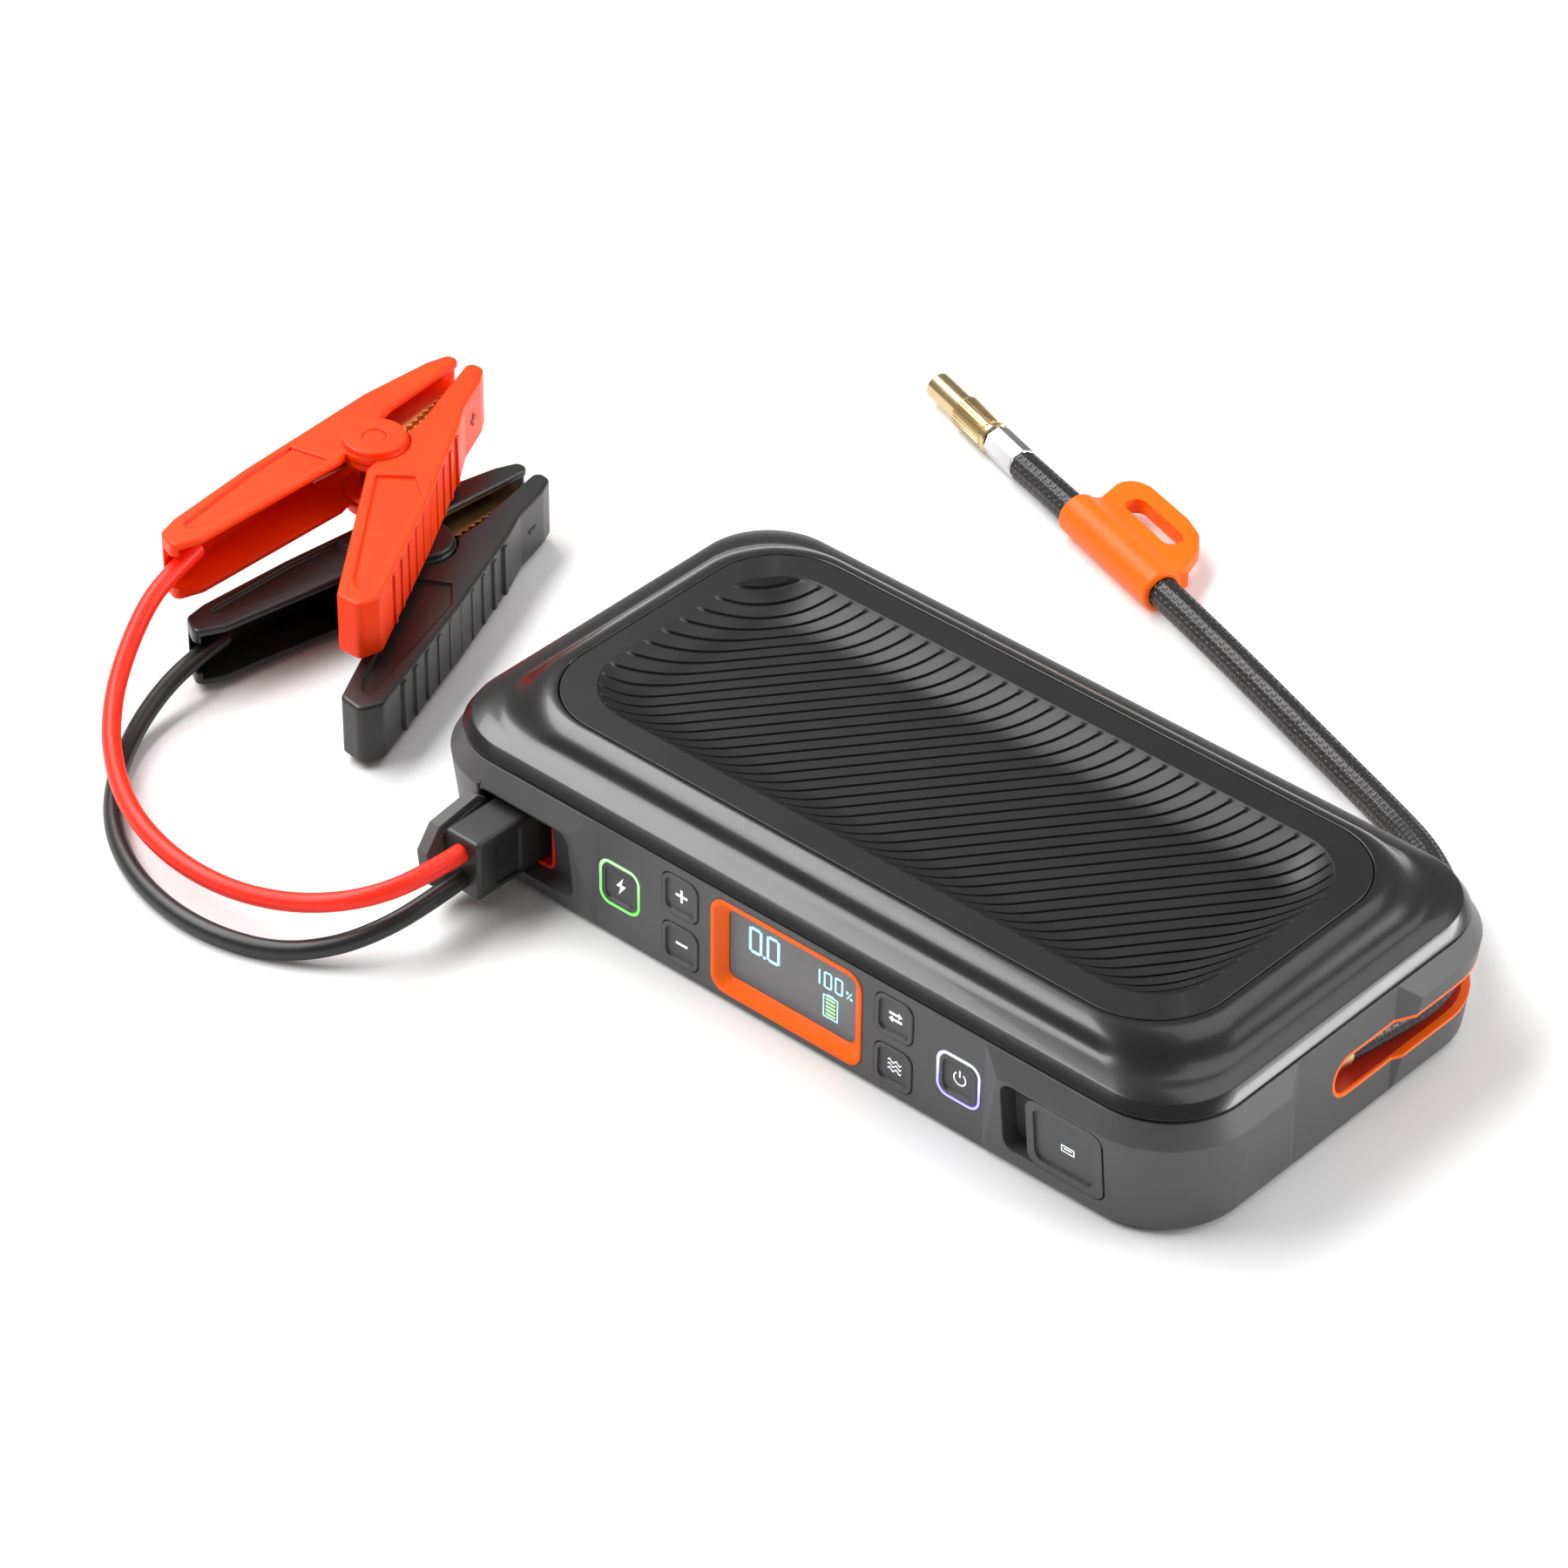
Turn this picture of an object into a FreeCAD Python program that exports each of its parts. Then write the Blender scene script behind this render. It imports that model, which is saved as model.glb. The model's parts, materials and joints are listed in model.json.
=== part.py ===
import FreeCAD, Part
import math
import os
import re

import Sketcher
from FreeCAD import Placement, Rotation, Vector

# Jump starter pack with a built-in air compressor.
# The origin is the middle of the pack's base on the floor: X runs along the pack, the
# control panel faces -Y, the hose channel runs round the back, and Z is up.

SIZES = {
    # pack body
    "pack_length": 270.0, "pack_width": 143.4, "corner_radius": 27.8,
    "foot_stand": 0.8, "flare_height": 30.0, "seam_height": 36.1, "seam_gap": 0.8,
    "base_inset": 3.2, "mid_inset": 3.46, "front_flat": 68.0, "side_flat": 20.5,
    "wall_slant": 7.6, "wall": 2.4, "base_round": 2.2,
    # top cover profile
    "chamfer_top": 40.6, "chamfer_inset": 5.84, "shelf_top": 41.7, "shelf_inset": 11.5,
    "crest_top": 46.0, "crest_x": 118.8, "crest_y": 57.4, "crest_round": 28.0,
    "ring_top": 48.5, "ring_x": 112.0, "ring_y": 51.2, "ring_round": 24.0,
    "dish_x": 104.0, "dish_y": 41.0, "dish_round": 20.0, "dish_depth": 6.6,
    "dish_slope": 13.0, "cover_roof": 38.6, "pad_seat": 39.8,
    # control panel
    "panel_middle": 18.6, "key_x": 37.5, "key_rise": 8.1, "lit_key_x": 59.5,
    "key_half": 6.4, "key_round": 3.0, "key_proud": 0.35, "key_gap": 0.2,
    "ring_wall": 0.7, "flange_half": 7.1, "flange": 1.0,
    "bezel_x": 26.5, "bezel_z": 15.4, "bezel_round": 5.0, "bezel_lip": 1.3,
    "window_x": 22.2, "window_z": 11.1, "window_rise": 0.3, "bezel_depth": 2.8,
    "lens": 1.2,
    # bays in the front corners
    "bay_middle": 92.6, "bay_x": 16.9, "bay_z": 11.8, "bay_height": 17.7, "bay_round": 4.0,
    "bay_depth": 6.0, "lid_gap": 0.3, "lid_x": 12.6, "lid_thick": 3.4, "lid_pin": 0.6,
    "lid_pin_x": 12.6, "lid_pin_y": 1.7, "lid_end": 16.3, "flap_thick": 2.6, "flap_gasket": 0.5, "flap_pin_y": 0.4,
    "flap_skin": 1.4, "flap_heel": 3.6, "flap_clip": 6.0, "flap_open": 88.0,
    # jumper socket and plug
    "socket_middle": -97.0, "socket_x": 9.5, "socket_z": 10.8, "liner": 1.0,
    "socket_back": 50.0, "plug_x": 6.5, "plug_z": 9.4, "plug_middle": -98.15,
    "plug_front": 89.0, "plug_back": 54.0, "contact_radius": 2.5, "contact_rise": 4.6,
    "cable_radius": 2.75,
    # hose channel and hose
    "channel_low": 11.5, "channel_high": 25.0, "channel_inset": 18.5, "channel_end": 1.7,
    "hose_radius": 4.85, "sleeve_radius": 6.6, "ferrule_radius": 5.1,
    "ferrule_length": 15.0, "collar_radius": 5.3, "collar_length": 18.3,
    "hose_middle": 18.2, "hose_start_y": 4.0,
    "tube_radius": 4.4, "tube_length": 15.7, "chuck_bore": 3.6, "stem_radius": 2.2,
    # clamps
    "clamp_half": 9.5, "clamp_wall": 2.0, "clamp_recess": 0.9, "ear_radius": 9.4,
    "cap_height": 2.0, "pin_radius": 2.5, "bore_gap": 0.05,
    "jaw_half": 3.2, "tooth_pitch": 3.0, "tooth_depth": 1.3,
}

doc = FreeCAD.newDocument("JumpStarterPack")
sheet = doc.addObject("Spreadsheet::Sheet", "Sizes")
for row, (alias, number) in enumerate(SIZES.items(), start=1):
    sheet.set(f"A{row}", alias)
    sheet.set(f"B{row}", str(number))
    sheet.setAlias(f"B{row}", alias)
doc.recompute()

NODES = {}


# ---------------------------------------------------------------- helpers

def terms(expression):
    """Gives each size in an expression the sheet's name."""
    def full_name(word):
        return "Sizes." + word.group() if word.group() in SIZES else word.group()
    return re.sub(r"[A-Za-z_]\w*", full_name, str(expression))


def value(expression):
    """The present number of an expression."""
    return float(sheet.evalExpression(terms(expression)))


def bind(thing, path, expression):
    thing.setExpression(path, terms(expression))


def locate(thing, x=0, y=0, z=0):
    for axis, expression in zip("xyz", (x, y, z)):
        bind(thing, "Placement.Base." + axis, expression)


def node(label, thing):
    """Marks an object as a sub-part of its own."""
    thing.Label = label
    NODES[label] = thing
    return thing


def block(x, y, z):
    """A box between two bounds along each axis."""
    thing = doc.addObject("Part::Box", "Block")
    for prop, (low, high) in zip(("Length", "Width", "Height"), (x, y, z)):
        bind(thing, prop, f"({high}) - ({low})")
    locate(thing, f"{x[0]}", f"{y[0]}", f"{z[0]}")
    return thing


AXIS_TURN = {"x": Rotation(Vector(0, 1, 0), 90), "y": Rotation(Vector(1, 0, 0), -90),
             "z": Rotation()}


def rod(axis, centre, radius, span):
    """A cylinder along an axis, with its centre given in the other two directions."""
    thing = doc.addObject("Part::Cylinder", "Rod")
    thing.Placement = Placement(Vector(), AXIS_TURN[axis])
    bind(thing, "Radius", radius)
    bind(thing, "Height", f"({span[1]}) - ({span[0]})")
    place = {"x": (span[0], *centre), "y": (centre[0], span[0], centre[1]),
             "z": (*centre, span[0])}[axis]
    locate(thing, *place)
    return thing


def fuse(*parts):
    thing = doc.addObject("Part::MultiFuse", "Fuse")
    thing.Shapes = list(parts)
    return thing


def common(first, second):
    thing = doc.addObject("Part::MultiCommon", "Common")
    thing.Shapes = [first, second]
    return thing


def cut(base, *tools):
    thing = doc.addObject("Part::Cut", "Cut")
    thing.Base = base
    thing.Tool = tools[0] if len(tools) == 1 else fuse(*tools)
    return thing


def group(*parts):
    thing = doc.addObject("Part::Compound", "Group")
    thing.Links = list(parts)
    return thing


PLANE_TURN = {"xy": Rotation(), "xz": Rotation(Vector(1, 0, 0), 90),
              "yz": Rotation(Vector(1, 1, 1), 120)}


def rounded_sketch(sketch, middle, half, radius):
    """Constrains a rounded rectangle: its four sides, then one radius for all corners."""
    a, b, r = value(half[0]), value(half[1]), value(radius)
    u, v = value(middle[0]), value(middle[1])
    corners = ((1, -1, -90), (1, 1, 0), (-1, 1, 90), (-1, -1, 180))
    lines = (((-a + r, -b), (a - r, -b)), ((a, -b + r), (a, b - r)),
             ((a - r, b), (-a + r, b)), ((-a, b - r), (-a, -b + r)))
    for (start, end), (sx, sy, angle) in zip(lines, corners):
        sketch.addGeometry(Part.LineSegment(Vector(u + start[0], v + start[1], 0),
                                            Vector(u + end[0], v + end[1], 0)), False)
        circle = Part.Circle(Vector(u + sx * (a - r), v + sy * (b - r), 0),
                             Vector(0, 0, 1), r)
        sketch.addGeometry(Part.ArcOfCircle(circle, math.radians(angle),
                                            math.radians(angle + 90)), False)
    for corner in range(4):
        line, arc, after = 2 * corner, 2 * corner + 1, (2 * corner + 2) % 8
        sketch.addConstraint(Sketcher.Constraint("Tangent", line, 2, arc, 1))
        sketch.addConstraint(Sketcher.Constraint("Tangent", arc, 2, after, 1))
    for line, kind in ((0, "Horizontal"), (2, "Vertical"), (4, "Horizontal"), (6, "Vertical")):
        sketch.addConstraint(Sketcher.Constraint(kind, line))
    for arc in (3, 5, 7):
        sketch.addConstraint(Sketcher.Constraint("Equal", 1, arc))
    measured = [("Radius", (1,), r, radius)]
    sides = (("DistanceX", 2, u + a, f"({middle[0]}) + ({half[0]})"),
             ("DistanceX", 6, u - a, f"({middle[0]}) - ({half[0]})"),
             ("DistanceY", 4, v + b, f"({middle[1]}) + ({half[1]})"),
             ("DistanceY", 0, v - b, f"({middle[1]}) - ({half[1]})"))
    for kind, line, number, expression in sides:
        measured.append(signed_distance(kind, line, number, expression))
    for kind, places, number, expression in measured:
        index = sketch.addConstraint(Sketcher.Constraint(kind, *places, number))
        bind(sketch, f"Constraints[{index}]", expression)


def signed_distance(kind, line, number, expression):
    """A distance from the sketch's origin to a line's start, kept positive."""
    if number >= 0:
        return kind, (-1, 1, line, 1), number, expression
    return kind, (line, 1, -1, 1), -number, f"-({expression})"


def polygon_sketch(sketch, points):
    """Constrains a closed polygon, each corner at its own distances from the origin."""
    numbers = [(value(x), value(y)) for x, y in points]
    count = len(points)
    for index in range(count):
        start, end = numbers[index], numbers[(index + 1) % count]
        sketch.addGeometry(Part.LineSegment(Vector(*start, 0), Vector(*end, 0)), False)
    for index in range(count):
        after = (index + 1) % count
        sketch.addConstraint(Sketcher.Constraint("Coincident", index, 2, after, 1))
    for index, (x, y) in enumerate(points):
        for kind, number, text in (("DistanceX", numbers[index][0], x),
                                   ("DistanceY", numbers[index][1], y)):
            if abs(number) < 1e-9:
                axis = -2 if kind == "DistanceX" else -1
                sketch.addConstraint(Sketcher.Constraint("PointOnObject", index, 1, axis))
                continue
            name, places, length, expression = signed_distance(kind, index, number, text)
            made = sketch.addConstraint(Sketcher.Constraint(name, *places, length))
            bind(sketch, f"Constraints[{made}]", expression)


def free_sketch(plane, height):
    """A sketch parallel to a plane. On xz its normal is -Y, so height is the greatest y."""
    sketch = doc.addObject("Sketcher::SketchObject", "Outline")
    sketch.Placement = Placement(Vector(), PLANE_TURN[plane])
    locate(sketch, **{{"xy": "z", "xz": "y", "yz": "x"}[plane]: height})
    return sketch


def extrude(sketch, plane, span):
    thing = doc.addObject("Part::Extrusion", "Prism")
    thing.Base = sketch
    thing.DirMode = "Normal"
    thing.Solid = True
    bind(thing, "LengthFwd", f"({span[1]}) - ({span[0]})")
    return thing


def rounded_prism(plane, middle, half, radius, span):
    sketch = free_sketch(plane, span[1] if plane == "xz" else span[0])
    rounded_sketch(sketch, middle, half, radius)
    return extrude(sketch, plane, span)


def polygon_prism(plane, points, span):
    sketch = free_sketch(plane, span[1] if plane == "xz" else span[0])
    polygon_sketch(sketch, points)
    return extrude(sketch, plane, span)


def loft(plane, sections):
    """Straight-sided skin through rounded rectangles: (height, half sizes, radius)."""
    thing = doc.addObject("Part::Loft", "Loft")
    sketches = []
    for height, middle, half, radius in sections:
        sketch = free_sketch(plane, height)
        rounded_sketch(sketch, middle, half, radius)
        sketches.append(sketch)
    thing.Sections = sketches
    thing.Solid = True
    thing.Ruled = True
    return thing


def rounded_edges(base, radius, chosen):
    """Fillets the edges of a shape that a test picks."""
    doc.recompute()
    thing = doc.addObject("Part::Fillet", "Rounded")
    thing.Base = base
    size = value(radius)
    thing.Edges = [(number, size, size) for number, edge in
                   enumerate(base.Shape.Edges, start=1) if chosen(edge.BoundBox)]
    return thing


def shaped(label, shape, placement=None):
    """A sub-part whose shape comes from the Part module's own functions."""
    thing = doc.addObject("Part::Feature", label)
    thing.Shape = shape
    if placement is not None:
        thing.Placement = placement
    return node(label, thing)


def body(label):
    thing = doc.addObject("PartDesign::Body", label)
    return node(label, thing)


def body_sketch(owner, role, offset=0):
    """A sketch on one of a body's own origin planes, lifted along the plane's normal."""
    sketch = owner.newObject("Sketcher::SketchObject", "Outline")
    plane = next(item for item in owner.Origin.OriginFeatures if item.Role == role)
    sketch.AttachmentSupport = (plane, [""])
    sketch.MapMode = "FlatFace"
    bind(sketch, "AttachmentOffset.Base.z", offset)
    return sketch


def pad(owner, sketch, length, reverse=False, middle=False):
    feature = owner.newObject("PartDesign::Pad", "Pad")
    feature.Profile = sketch
    bind(feature, "Length", length)
    feature.Reversed = reverse
    feature.Midplane = middle
    return feature


def pocket(owner, sketch, length, reverse=False, middle=False):
    doc.recompute()
    before = owner.Shape.Volume
    feature = owner.newObject("PartDesign::Pocket", "Pocket")
    feature.Profile = sketch
    bind(feature, "Length", length)
    feature.Reversed = reverse
    feature.Midplane = middle
    doc.recompute()
    if owner.Shape.Volume >= before:
        raise RuntimeError(f"a pocket of {owner.Label} removes nothing")
    return feature


# ---------------------------------------------------------------- pack shells

HALF_X = "pack_length / 2"
HALF_Y = "pack_width / 2"
COVER_BASE = "seam_height + seam_gap"
PANEL = "-(pack_width / 2 - mid_inset)"
PANEL_BACK = "-(pack_width / 2 - mid_inset - wall)"
INNER_X = "(pack_length / 2 - channel_inset - wall)"
INNER_Y = "(pack_width / 2 - channel_inset - wall)"


def inset_section(height, inset):
    """The pack's outline moved in by an inset, at a height."""
    return (height, (0, 0), (f"{HALF_X} - ({inset})", f"{HALF_Y} - ({inset})"),
            f"corner_radius - ({inset})")


def outer_skin():
    """The lower body's outside: flared corners and plain upright middle walls."""
    flare = loft("xy", [inset_section("foot_stand", "base_inset"),
                        inset_section("flare_height", 0),
                        inset_section("seam_height", "mid_inset")])
    soft = rounded_edges(flare, "base_round",
                         lambda box: box.ZMax < value("foot_stand") + 0.01)
    far = "pack_length"
    notches = []
    for sign in (1, -1):
        face = f"{sign} * ({HALF_Y} - mid_inset)"
        edge = f"{sign} * ({HALF_Y} + 0.4)"
        notches.append(polygon_prism("xy", [
            ("-front_flat", face), ("front_flat", face),
            ("front_flat + wall_slant", edge), ("-front_flat - wall_slant", edge),
        ], (0, "seam_height + 1")))
        face = f"{sign} * ({HALF_X} - mid_inset)"
        edge = f"{sign} * ({HALF_X} + 0.4)"
        notches.append(polygon_prism("xy", [
            (face, "-side_flat"), (face, "side_flat"),
            (edge, "side_flat + wall_slant"), (edge, "-side_flat - wall_slant"),
        ], (0, "seam_height + 1")))
    return cut(soft, *notches)


def channel_space(grow):
    """The hose channel's U-shaped space, shrunk all round by an amount."""
    low, high = f"channel_low + {grow}", f"channel_high - {grow}"
    core = rounded_prism("xy", (0, 0), (f"{HALF_X} - channel_inset + {grow}",
                                        f"{HALF_Y} - channel_inset + {grow}"),
                         f"corner_radius - channel_inset + {grow}", (0, "seam_height"))
    slab = block((f"-{HALF_X} - 9", f"{HALF_X} + 9"), ("channel_end", f"{HALF_Y} + 9"),
                 (low, high))
    middle = "(channel_low + channel_high) / 2"
    ends = []
    for sign in (1, -1):
        start = f"{HALF_X} - channel_inset - 1" if sign > 0 else f"-{HALF_X} - 9"
        stop = f"{HALF_X} + 9" if sign > 0 else f"-{HALF_X} + channel_inset + 1"
        ends.append(rod("x", ("channel_end", middle), f"({high} - ({low})) / 2", (start, stop)))
    return cut(fuse(slab, *ends), core)


FLARE = math.degrees(math.atan2(SIZES["base_inset"],
                                SIZES["flare_height"] - SIZES["foot_stand"]))


def on_bay(thing, side, turn=0.0, pivot=(0.0, 0.0)):
    """Puts an object, made with the bay's mouth at y = 0, on the flared wall of a corner."""
    depth = value("base_inset * (flare_height - bay_height) / (flare_height - foot_stand)")
    origin = Vector(side * value("bay_middle"), depth - value(HALF_Y), value("bay_height"))
    tilt = Rotation(Vector(1, 0, 0), FLARE)
    base = Placement(origin, tilt)
    if turn:
        about = Vector(pivot[0], pivot[1], 0)
        base = base * Placement(about, Rotation(Vector(0, 0, 1), turn)) * Placement(
            -about, Rotation())
    thing.Placement = base * thing.Placement
    return thing


def make_shells():
    skin = outer_skin()
    cavity = polygon_prism("xy", [
        (f"-{INNER_X}", INNER_Y), (INNER_X, INNER_Y),
        (INNER_X, "-socket_back + 6"), ("front_flat + 5", "-socket_back + 6"),
        ("front_flat + 5", PANEL_BACK), ("-front_flat - 5", PANEL_BACK),
        ("-front_flat - 5", "-socket_back + 6"), (f"-{INNER_X}", "-socket_back + 6"),
    ], ("foot_stand + wall", "seam_height + 1"))
    channel = channel_space("0")
    openings = [rounded_prism("xz", (0, "panel_middle"), ("bezel_x", "bezel_z"),
                              "bezel_round", (f"{PANEL} - 1", f"{PANEL_BACK} + 1"))]
    for side in (1, -1):
        hole = "key_half + key_gap + ring_wall"
        openings.append(rounded_prism("xz", (f"{side} * lit_key_x", "panel_middle"),
                                      (hole, hole), "key_round + ring_wall",
                                      (f"{PANEL} - 1", f"{PANEL_BACK} + 1")))
        for rise in (1, -1):
            hole = "key_half + key_gap"
            openings.append(rounded_prism(
                "xz", (f"{side} * key_x", f"panel_middle + {rise} * key_rise"),
                (hole, hole), "key_round", (f"{PANEL} - 1", f"{PANEL_BACK} + 1")))
    for side in (1, -1):
        bay = rounded_prism("xz", (0, 0), ("bay_x", "bay_z"), "bay_round", (-6, "bay_depth"))
        openings.append(on_bay(group(bay), side))
    openings.append(rounded_prism("xz", ("socket_middle", "bay_height"),
                                  ("socket_x", "socket_z"), "2.5",
                                  ("-plug_front", "-socket_back")))
    usb_cell = block((-6.2, 14.2), (0, 16), (-9.2, 9.2))
    openings.append(on_bay(group(usb_cell), 1))
    for side, pin_x, pin_y in ((1, "lid_pin_x", "lid_pin_y"),
                               (-1, "-bay_x + 1", "flap_pin_y")):
        pin_hole = rod("z", (pin_x, pin_y), "lid_pin", ("-bay_z - 1.3", "bay_z + 1.3"))
        openings.append(on_bay(group(pin_hole), side))
    openings.append(rod("x", ("hose_start_y", "hose_middle"), "stem_radius + 0.8",
                        (f"{INNER_X} - 2", f"{HALF_X} - channel_inset + 1")))
    node("lower_housing", cut(skin, cavity, channel, *openings))

    lining = common(skin, channel)
    node("channel_liner", cut(lining, channel_space("liner"),
                              rod("x", ("hose_start_y", "hose_middle"), "stem_radius + 0.8",
                                  (f"{INNER_X} - 2", f"{HALF_X} - channel_inset + 3"))))

    dome = loft("xy", [
        inset_section(COVER_BASE, "mid_inset"),
        (*inset_section("chamfer_top", "chamfer_inset")[:3], "corner_radius - chamfer_inset"),
        (*inset_section("shelf_top", "shelf_inset")[:3], "corner_radius - chamfer_inset"),
        ("crest_top", (0, 0), ("crest_x", "crest_y"), "crest_round"),
        ("ring_top", (0, 0), ("ring_x", "ring_y"), "ring_round")])
    hollow = rounded_prism("xy", (0, 0), (f"{HALF_X} - mid_inset - wall",
                                          f"{HALF_Y} - mid_inset - wall"),
                           "corner_radius - mid_inset - wall", (f"{COVER_BASE} - 1", "cover_roof"))
    seat = rounded_prism("xy", (0, 0), ("ring_x - 0.5", "ring_y - 0.5"), "ring_round - 0.5",
                         ("pad_seat", "ring_top + 1"))
    node("top_cover", cut(dome, hollow, seat))

    mat = rounded_prism("xy", (0, 0), ("ring_x - 0.6", "ring_y - 0.6"), "ring_round - 0.6",
                        ("pad_seat", "ring_top"))
    dish = loft("xy", [
        ("ring_top + 0.01", (0, 0), ("dish_x", "dish_y"), "dish_round"),
        ("ring_top - dish_depth * 0.7", (0, 0),
         ("dish_x - dish_slope * 0.5", "dish_y - dish_slope * 0.5"), "dish_round - 5"),
        ("ring_top - dish_depth", (0, 0),
         ("dish_x - dish_slope", "dish_y - dish_slope"), "dish_round - 9")])
    node("grip_mat", cut(mat, dish))

    rim = rounded_prism("xy", (0, 0), (f"{HALF_X} - mid_inset - 1", f"{HALF_Y} - mid_inset - 1"),
                        "corner_radius - mid_inset - 1", ("seam_height", COVER_BASE))
    rim_hole = rounded_prism("xy", (0, 0), (f"{HALF_X} - mid_inset - wall",
                                            f"{HALF_Y} - mid_inset - wall"),
                             "corner_radius - mid_inset - wall", (0, "seam_height + 2"))
    node("seam_gasket", cut(rim, rim_hole))
    node("base_pad", rounded_prism("xy", (0, 0), (f"{HALF_X} - 14", f"{HALF_Y} - 14"), 12,
                                   (0, "foot_stand")))


# ---------------------------------------------------------------- control panel

def make_key(label, x, z):
    """A sprung key: a proud cap with a sunken face, a flange behind the wall, a plunger."""
    key = body(label)
    cap = body_sketch(key, "XZ_Plane", "key_proud")
    rounded_sketch(cap, (0, 0), ("key_half", "key_half"), "key_round")
    pad(key, cap, "key_proud + wall + lid_gap", reverse=True)
    flange = body_sketch(key, "XZ_Plane", "-(wall + lid_gap)")
    rounded_sketch(flange, (0, 0), ("flange_half", "flange_half"), "key_round")
    pad(key, flange, "flange", reverse=True)
    plunger = body_sketch(key, "XZ_Plane", "-(wall + lid_gap + flange)")
    rounded_sketch(plunger, (0, 0), (1.6, 1.6), 1.5)
    pad(key, plunger, 1.2, reverse=True)
    face = body_sketch(key, "XZ_Plane", "key_proud")
    rounded_sketch(face, (0, 0), ("key_half - 1.3", "key_half - 1.3"), "key_round - 1")
    pocket(key, face, "key_proud + 0.55")
    locate(key, x, PANEL, z)


def make_panel():
    make_key("jump_button", "-lit_key_x", "panel_middle")
    make_key("usb_button", "lit_key_x", "panel_middle")
    make_key("plus_button", "-key_x", "panel_middle + key_rise")
    make_key("minus_button", "-key_x", "panel_middle - key_rise")
    make_key("unit_button", "key_x", "panel_middle + key_rise")
    make_key("air_button", "key_x", "panel_middle - key_rise")

    for label, side in (("jump_light_ring", -1), ("usb_light_ring", 1)):
        ring = body(label)
        outline = body_sketch(ring, "XZ_Plane", 0.15)
        outer = "key_half + key_gap + ring_wall"
        rounded_sketch(outline, (0, 0), (outer, outer), "key_round + ring_wall")
        pad(ring, outline, "wall + 0.15", reverse=True)
        bore = body_sketch(ring, "XZ_Plane", 1)
        rounded_sketch(bore, (0, 0), ("key_half + key_gap", "key_half + key_gap"), "key_round")
        pocket(ring, bore, "wall + 2")
        locate(ring, f"{side} * lit_key_x", PANEL, "panel_middle")

    front, back = f"{PANEL} - 0.3", f"{PANEL} + bezel_depth"
    frame = rounded_prism("xz", (0, "panel_middle"), ("bezel_x", "bezel_z"), "bezel_round",
                          (front, back))
    funnel = loft("xz", [
        (f"{front} - 0.01", (0, "panel_middle"),
         ("bezel_x - bezel_lip", "bezel_z - bezel_lip"), "bezel_round - bezel_lip"),
        (f"{back} - 0.4", (0, "panel_middle + window_rise"), ("window_x", "window_z"), 2.4),
        (f"{back} + 0.01", (0, "panel_middle + window_rise"), ("window_x", "window_z"), 2.4)])
    node("display_bezel", cut(frame, funnel))
    lens_back = f"{back} + lens"
    node("display_lens", rounded_prism("xz", (0, "panel_middle"),
                                       ("window_x + 1.5", "window_z + 1.5"), 2, (back, lens_back)))
    node("display_panel", block(("-window_x - 1", "window_x + 1"),
                                (lens_back, f"{lens_back} + 2.2"),
                                ("panel_middle - window_z - 1", "panel_middle + window_z + 1")))

    board_y = f"{PANEL_BACK} + 9"
    board = block(("-67", "67"), (board_y, f"{board_y} + 1.6"), (4.5, 33))
    switches = []
    for x, z in [(f"{side} * lit_key_x", "panel_middle") for side in (1, -1)] + [
            (f"{side} * key_x", f"panel_middle + {rise} * key_rise")
            for side in (1, -1) for rise in (1, -1)]:
        switches.append(block((f"{x} - 3", f"{x} + 3"), (f"{board_y} - 4", board_y),
                              (f"{z} - 3", f"{z} + 3")))
        switches.append(rod("y", (x, z), 1.7, (f"{board_y} - 5.2", f"{board_y} - 4")))
    node("key_board", fuse(board, *switches))


# ---------------------------------------------------------------- front bays

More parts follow.
